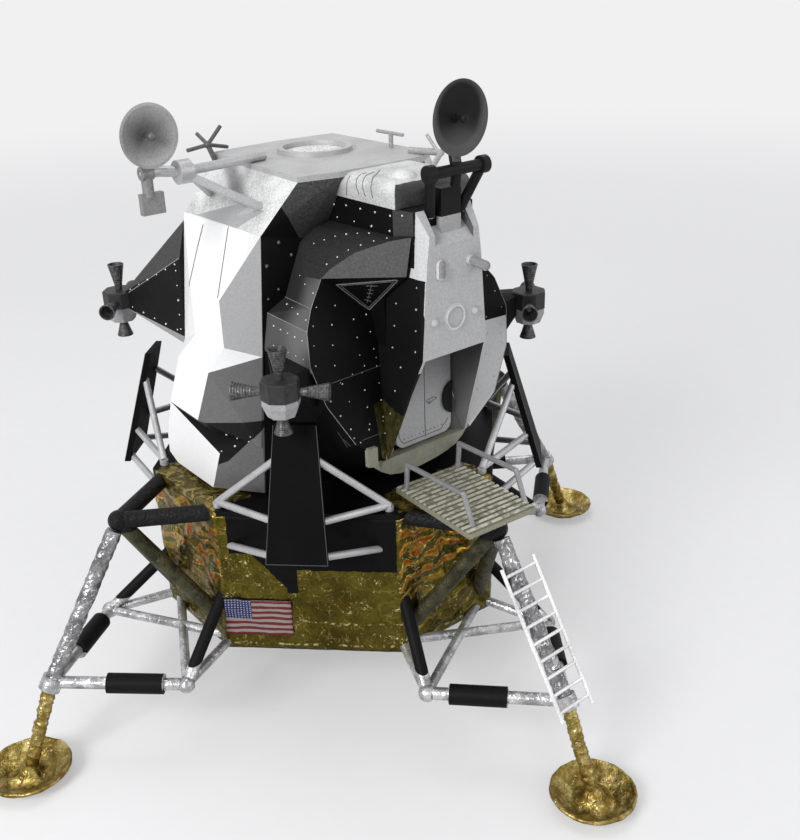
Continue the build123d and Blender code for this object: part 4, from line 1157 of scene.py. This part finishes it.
def lines(name, node, paths, radius, material=PALE_LINE, body="ascent_stage"):
    """Thin lines on a node. The radius is in mm."""
    sizes = {"Surface": nodes[node], "Radius": radius * MM, "Material": material}
    grown(name, LINES, paths, sizes, body)


def mirrored(paths):
    """Paths on the starboard side and the same ones to port."""
    return paths + [[(-x, y, z) for x, y, z in path] for path in paths]


def shifted(path, x, y=0.0, z=0.0):
    """Path moved beside itself."""
    return [(a + x, b + y, c + z) for a, b, c in path]


# Starboard side of the cabin: rim of its front, crease beside the panel, edge of the brow, window
RIM = [(-12.9, -18.0, 73.5), (-16.2, -19.8, 70.3), (-18.0, -21.1, 67.7), (-19.0, -22.8, 63.2),
       (-17.7, -24.3, 57.4), (-13.9, -25.5, 50.7), (-8.6, -25.5, 46.4)]
CREASE = [(-6.1, -20.3, 67.4), (-6.1, -21.9, 62.0), (-6.4, -22.8, 56.5), (-7.0, -23.6, 50.0)]
BROW = [(-7.6, -27.0, 79.5), (-9.1, -24.5, 78.5), (-10.3, -22.6, 77.6), (-11.4, -20.7, 76.1),
        (-12.2, -19.3, 75.0)]
WINDOW = [(-11.1, -19.1, 72.5), (-6.2, -19.9, 67.7), (-6.5, -27.2, 73.9)]
WINDOW_MIDDLE, INNER_SHARE = (-7.9, -22.1, 71.4), 0.86

# White dots on the black walls
face_rows = mirrored([
    shifted(RIM[1:6], 1.0), shifted(CREASE, -1.0), shifted(RIM[1:5], 4.2, 0.0, -0.5),
    [(-9.6, -19.6, 67.0), (-10.2, -22.2, 60.0), (-10.6, -24.3, 52.5)],
    [(-16.9, -24.0, 59.4), (-7.0, -21.9, 61.2)], [(-14.0, -24.9, 51.6), (-7.8, -24.0, 52.0)],
])
dots("cabin_face_dots", "cabin", face_rows, 2.5, 0.115, 1, FACE_DOT)
top_rows = mirrored([
    shifted(BROW, 0.3, 1.1, 0.4), [(-7.2, -22.0, 79.6), (-8.8, -17.5, 78.9), (-10.6, -13.5, 77.2)],
    [(-14.6, -18.4, 71.8), (-13.2, -13.5, 73.0)], [(-17.0, -19.8, 68.8), (-15.6, -13.0, 69.2)],
    [(-18.0, -20.2, 66.2), (-17.8, -12.6, 66.4)], [(-18.5, -21.0, 63.8), (-18.3, -13.0, 63.6)],
])
dots("cabin_flank_dots", "cabin", top_rows, 1.8, 0.12, 2)
dots("cabin_block_dots", "cabin", mirrored([
    [(-6.6, -13.0, 82.4), (-6.6, -26.0, 82.6)], [(-6.6, -14.0, 80.4), (-6.6, -25.8, 80.5)],
    [(-6.0, -27.8, 82.8), (-6.0, -27.8, 80.4)]]), 3.1, 0.13, 3)
dots("wall_dots", "midsection", mirrored([
    [(-16.9, -10.5, 74.6), (-17.6, -10.5, 60.0)], [(-14.6, -10.5, 77.6), (-15.9, -10.5, 64.0)],
    [(-12.6, -10.5, 75.4), (-13.4, -10.5, 70.0)]]), 4.6, 0.24, 4, SOFT_DOT)
dots("panel_dots", "front_panel", mirrored([
    [(-6.0, -29.9, 73.2), (-6.1, -29.9, 64.0)], [(-6.0, -25.6, 70.0), (-6.1, -24.6, 60.0)],
    [(-6.6, -27.0, 61.0), (-7.4, -25.4, 53.5)]]), 3.0, 0.13, 5, FACE_DOT)
for corner, side in AFT_SIDES.items():
    dots("boom_dots_" + corner, "boom_" + corner, [
        [(side * 20.0, 11.5, 71.0), (side * 23.6, 21.0, 65.6)],
        [(side * 20.2, 11.3, 70.0), (side * 20.4, 11.3, 60.4)],
        [(side * 20.6, 12.0, 60.2), (side * 23.6, 21.0, 62.6)]], 2.3, 0.14, 6)
dots("bay_dots", "tank_bay_starboard", [
    [(-24.4, -6.6, 48.6), (-21.4, -9.2, 49.0)], [(-25.6, -7.3, 47.0), (-22.0, -9.4, 48.2)]], 1.9, 0.15, 7)

# Painted highlights as pale lines along edges; seams, window frames and the fairing's folds
lines("cabin_edges", "cabin", mirrored([
    RIM[:6], [RIM[1], (-14.2, -10.6, 69.4)], [RIM[2], (-17.5, -10.6, 67.8)]]), 0.05)
lines("cabin_seams", "cabin", [
    [(-16.0, -23.0, 60.1), (-6.4, -22.2, 59.9)], [(-15.8, -24.2, 50.8), (-8.4, -23.7, 50.3)],
    [(-16.9, -24.1, 52.0), (-16.1, -24.5, 48.7)]], 0.07, FAINT_LINE)
lines("window_frames", "cabin", mirrored([WINDOW + WINDOW[:1]]), 0.11, FRAME_LINE)
inner = [Vector(WINDOW_MIDDLE).lerp(Vector(point), INNER_SHARE) for point in WINDOW]
lines("window_marks", "cabin", mirrored([
    inner + inner[:1], [(-8.2, -23.4, 72.8), (-7.0, -20.6, 69.2)],
    [(-8.6, -22.6, 72.5), (-7.6, -24.0, 72.6)], [(-7.5, -20.7, 69.9), (-6.7, -21.2, 69.6)],
    [(-8.1, -22.4, 71.8), (-7.5, -22.9, 71.8)], [(-7.9, -21.9, 71.1), (-7.3, -22.4, 71.1)],
    [(-7.6, -21.3, 70.4), (-7.1, -21.7, 70.4)]]), 0.05, FRAME_LINE)
lines("bay_seams", "tank_bay_starboard", [
    [(-17.5, 4.4, 79.0), (-21.9, 4.0, 69.5)], [(-17.6, -2.2, 79.0), (-21.9, -4.4, 69.6)]], 0.085, DARK_LINE)
for corner, side in AFT_SIDES.items():
    edge = [(side * 19.6, 10.7, 72.0), (side * 23.9, 21.4, 65.0)]
    lines("boom_line_" + corner, "boom_" + corner, [edge], 0.07)
lines("fairing_folds", "roof_fairing", [
    [(-6.2, -17.0, 86.6), (-6.8, -16.9, 85.5), (-6.8, -16.8, 84.0)],
    [(-4.7, -18.7, 87.0), (-6.2, -18.6, 86.5), (-6.8, -19.0, 85.6), (-6.8, -19.6, 84.5)],
    [(-3.5, -19.0, 87.0), (-5.6, -19.8, 86.8), (-6.7, -20.4, 85.7), (-6.8, -21.0, 84.4)],
    [(-2.1, -18.5, 87.0), (-4.5, -20.6, 87.0), (-6.3, -22.0, 86.4), (-6.8, -22.6, 84.5)]], 0.07, DARK_LINE)

# Hatch: seam, edge, rivets, window and handle
HATCH_FACE = -24.65


def on_hatch(*places):
    """Path on the hatch's face, from places in X and Z."""
    return [(x, HATCH_FACE, z) for x, z in places]


lines("hatch_seams", "hatch", [
    on_hatch((0.2, 62.0), (0.2, 46.9)),
    on_hatch((-5.0, 59.0), (-5.0, 48.4), (-4.2, 47.2), (3.4, 47.2), (4.9, 48.6))], 0.06, DARK_LINE)
dots("hatch_rivets", "hatch", [
    on_hatch((0.8, 61.6), (4.8, 61.6)), on_hatch((-4.0, 47.9), (3.6, 47.9))], 0.75, 0.09, 8, DARK_LINE)


def hatch_window():
    """Black half-round at the hatch's port edge."""
    edge, level, half_width, half_height, steps = 5.45, 52.2, 1.9, 2.6, 16
    arc = []
    for i in range(steps + 1):
        angle = math.pi * i / steps
        arc.append((edge - half_width * math.sin(angle), level - half_height * math.cos(angle)))
    points, faces = bar(arc, HATCH_FACE - 0.2, HATCH_FACE + 0.05)
    piece("hatch_window", points, faces, [BLACK], "ascent_stage")


def hatch_handle():
    """Small handle beside the hatch's seam, on two legs."""
    out, root = -24.55, -24.2
    left, right = (0.9, 52.3), (2.5, 52.8)
    grip = foil_tube((left[0], out, left[1]), (right[0], out, right[1]), 0.12, 0.01)
    legs = [foil_tube((x, root, z), (x, out, z), 0.10, 0.01) for x, z in ((1.0, 52.33), (2.4, 52.77))]
    points, faces = joined(grip, *legs)
    piece("hatch_handle", points, faces, [PALE_LINE], "ascent_stage", smooth=True)


def sill():
    """Ledge below the hatch with a bellied lower edge, and the small block beside it."""
    belly = [(-8.9, 46.1), (-9.2, 44.5), (-7.6, 43.5), (-5.6, 43.0), (-3.6, 42.85), (-1.0, 42.95),
             (1.6, 43.2), (4.0, 43.65), (5.8, 44.2), (7.2, 45.2), (8.0, 46.1)]
    block = [(-12.1, 46.5), (-10.3, 46.0), (-10.3, 49.2), (-12.1, 49.5)]
    front, back, block_front = -25.2, -21.6, -25.95
    points, faces = joined(bar(belly, front, back), bar(block, block_front, front))
    ledge = piece("sill_ledge", points, faces, [CREAM], "ascent_stage")
    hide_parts("hatch_sill")


def deflector_edges():
    """Faint pale lines as painted highlights along the four deflectors' edges: both sides and the foot of
    each outer face.
    """
    foot_out, foot_half, foot_level = 36.0, 4.5, 35.35
    top_out, top_half, top_level = 30.2, 3.05, 54.75
    feet = [(foot_out, foot_half * side, foot_level) for side in (-1, 1)]
    tops = [(top_out, top_half * side, top_level) for side in (-1, 1)]
    edges = [*zip(feet, tops), feet]
    for corner, turn in CORNERS.items():
        spin = about_z(turn)
        paths = [[spin @ Vector(point) for point in edge] for edge in edges]
        lines("deflector_edges_" + corner, "deflector_" + corner, paths, 0.06, FAINT_LINE, "descent_stage")


hatch_window()
hatch_handle()
sill()
deflector_edges()
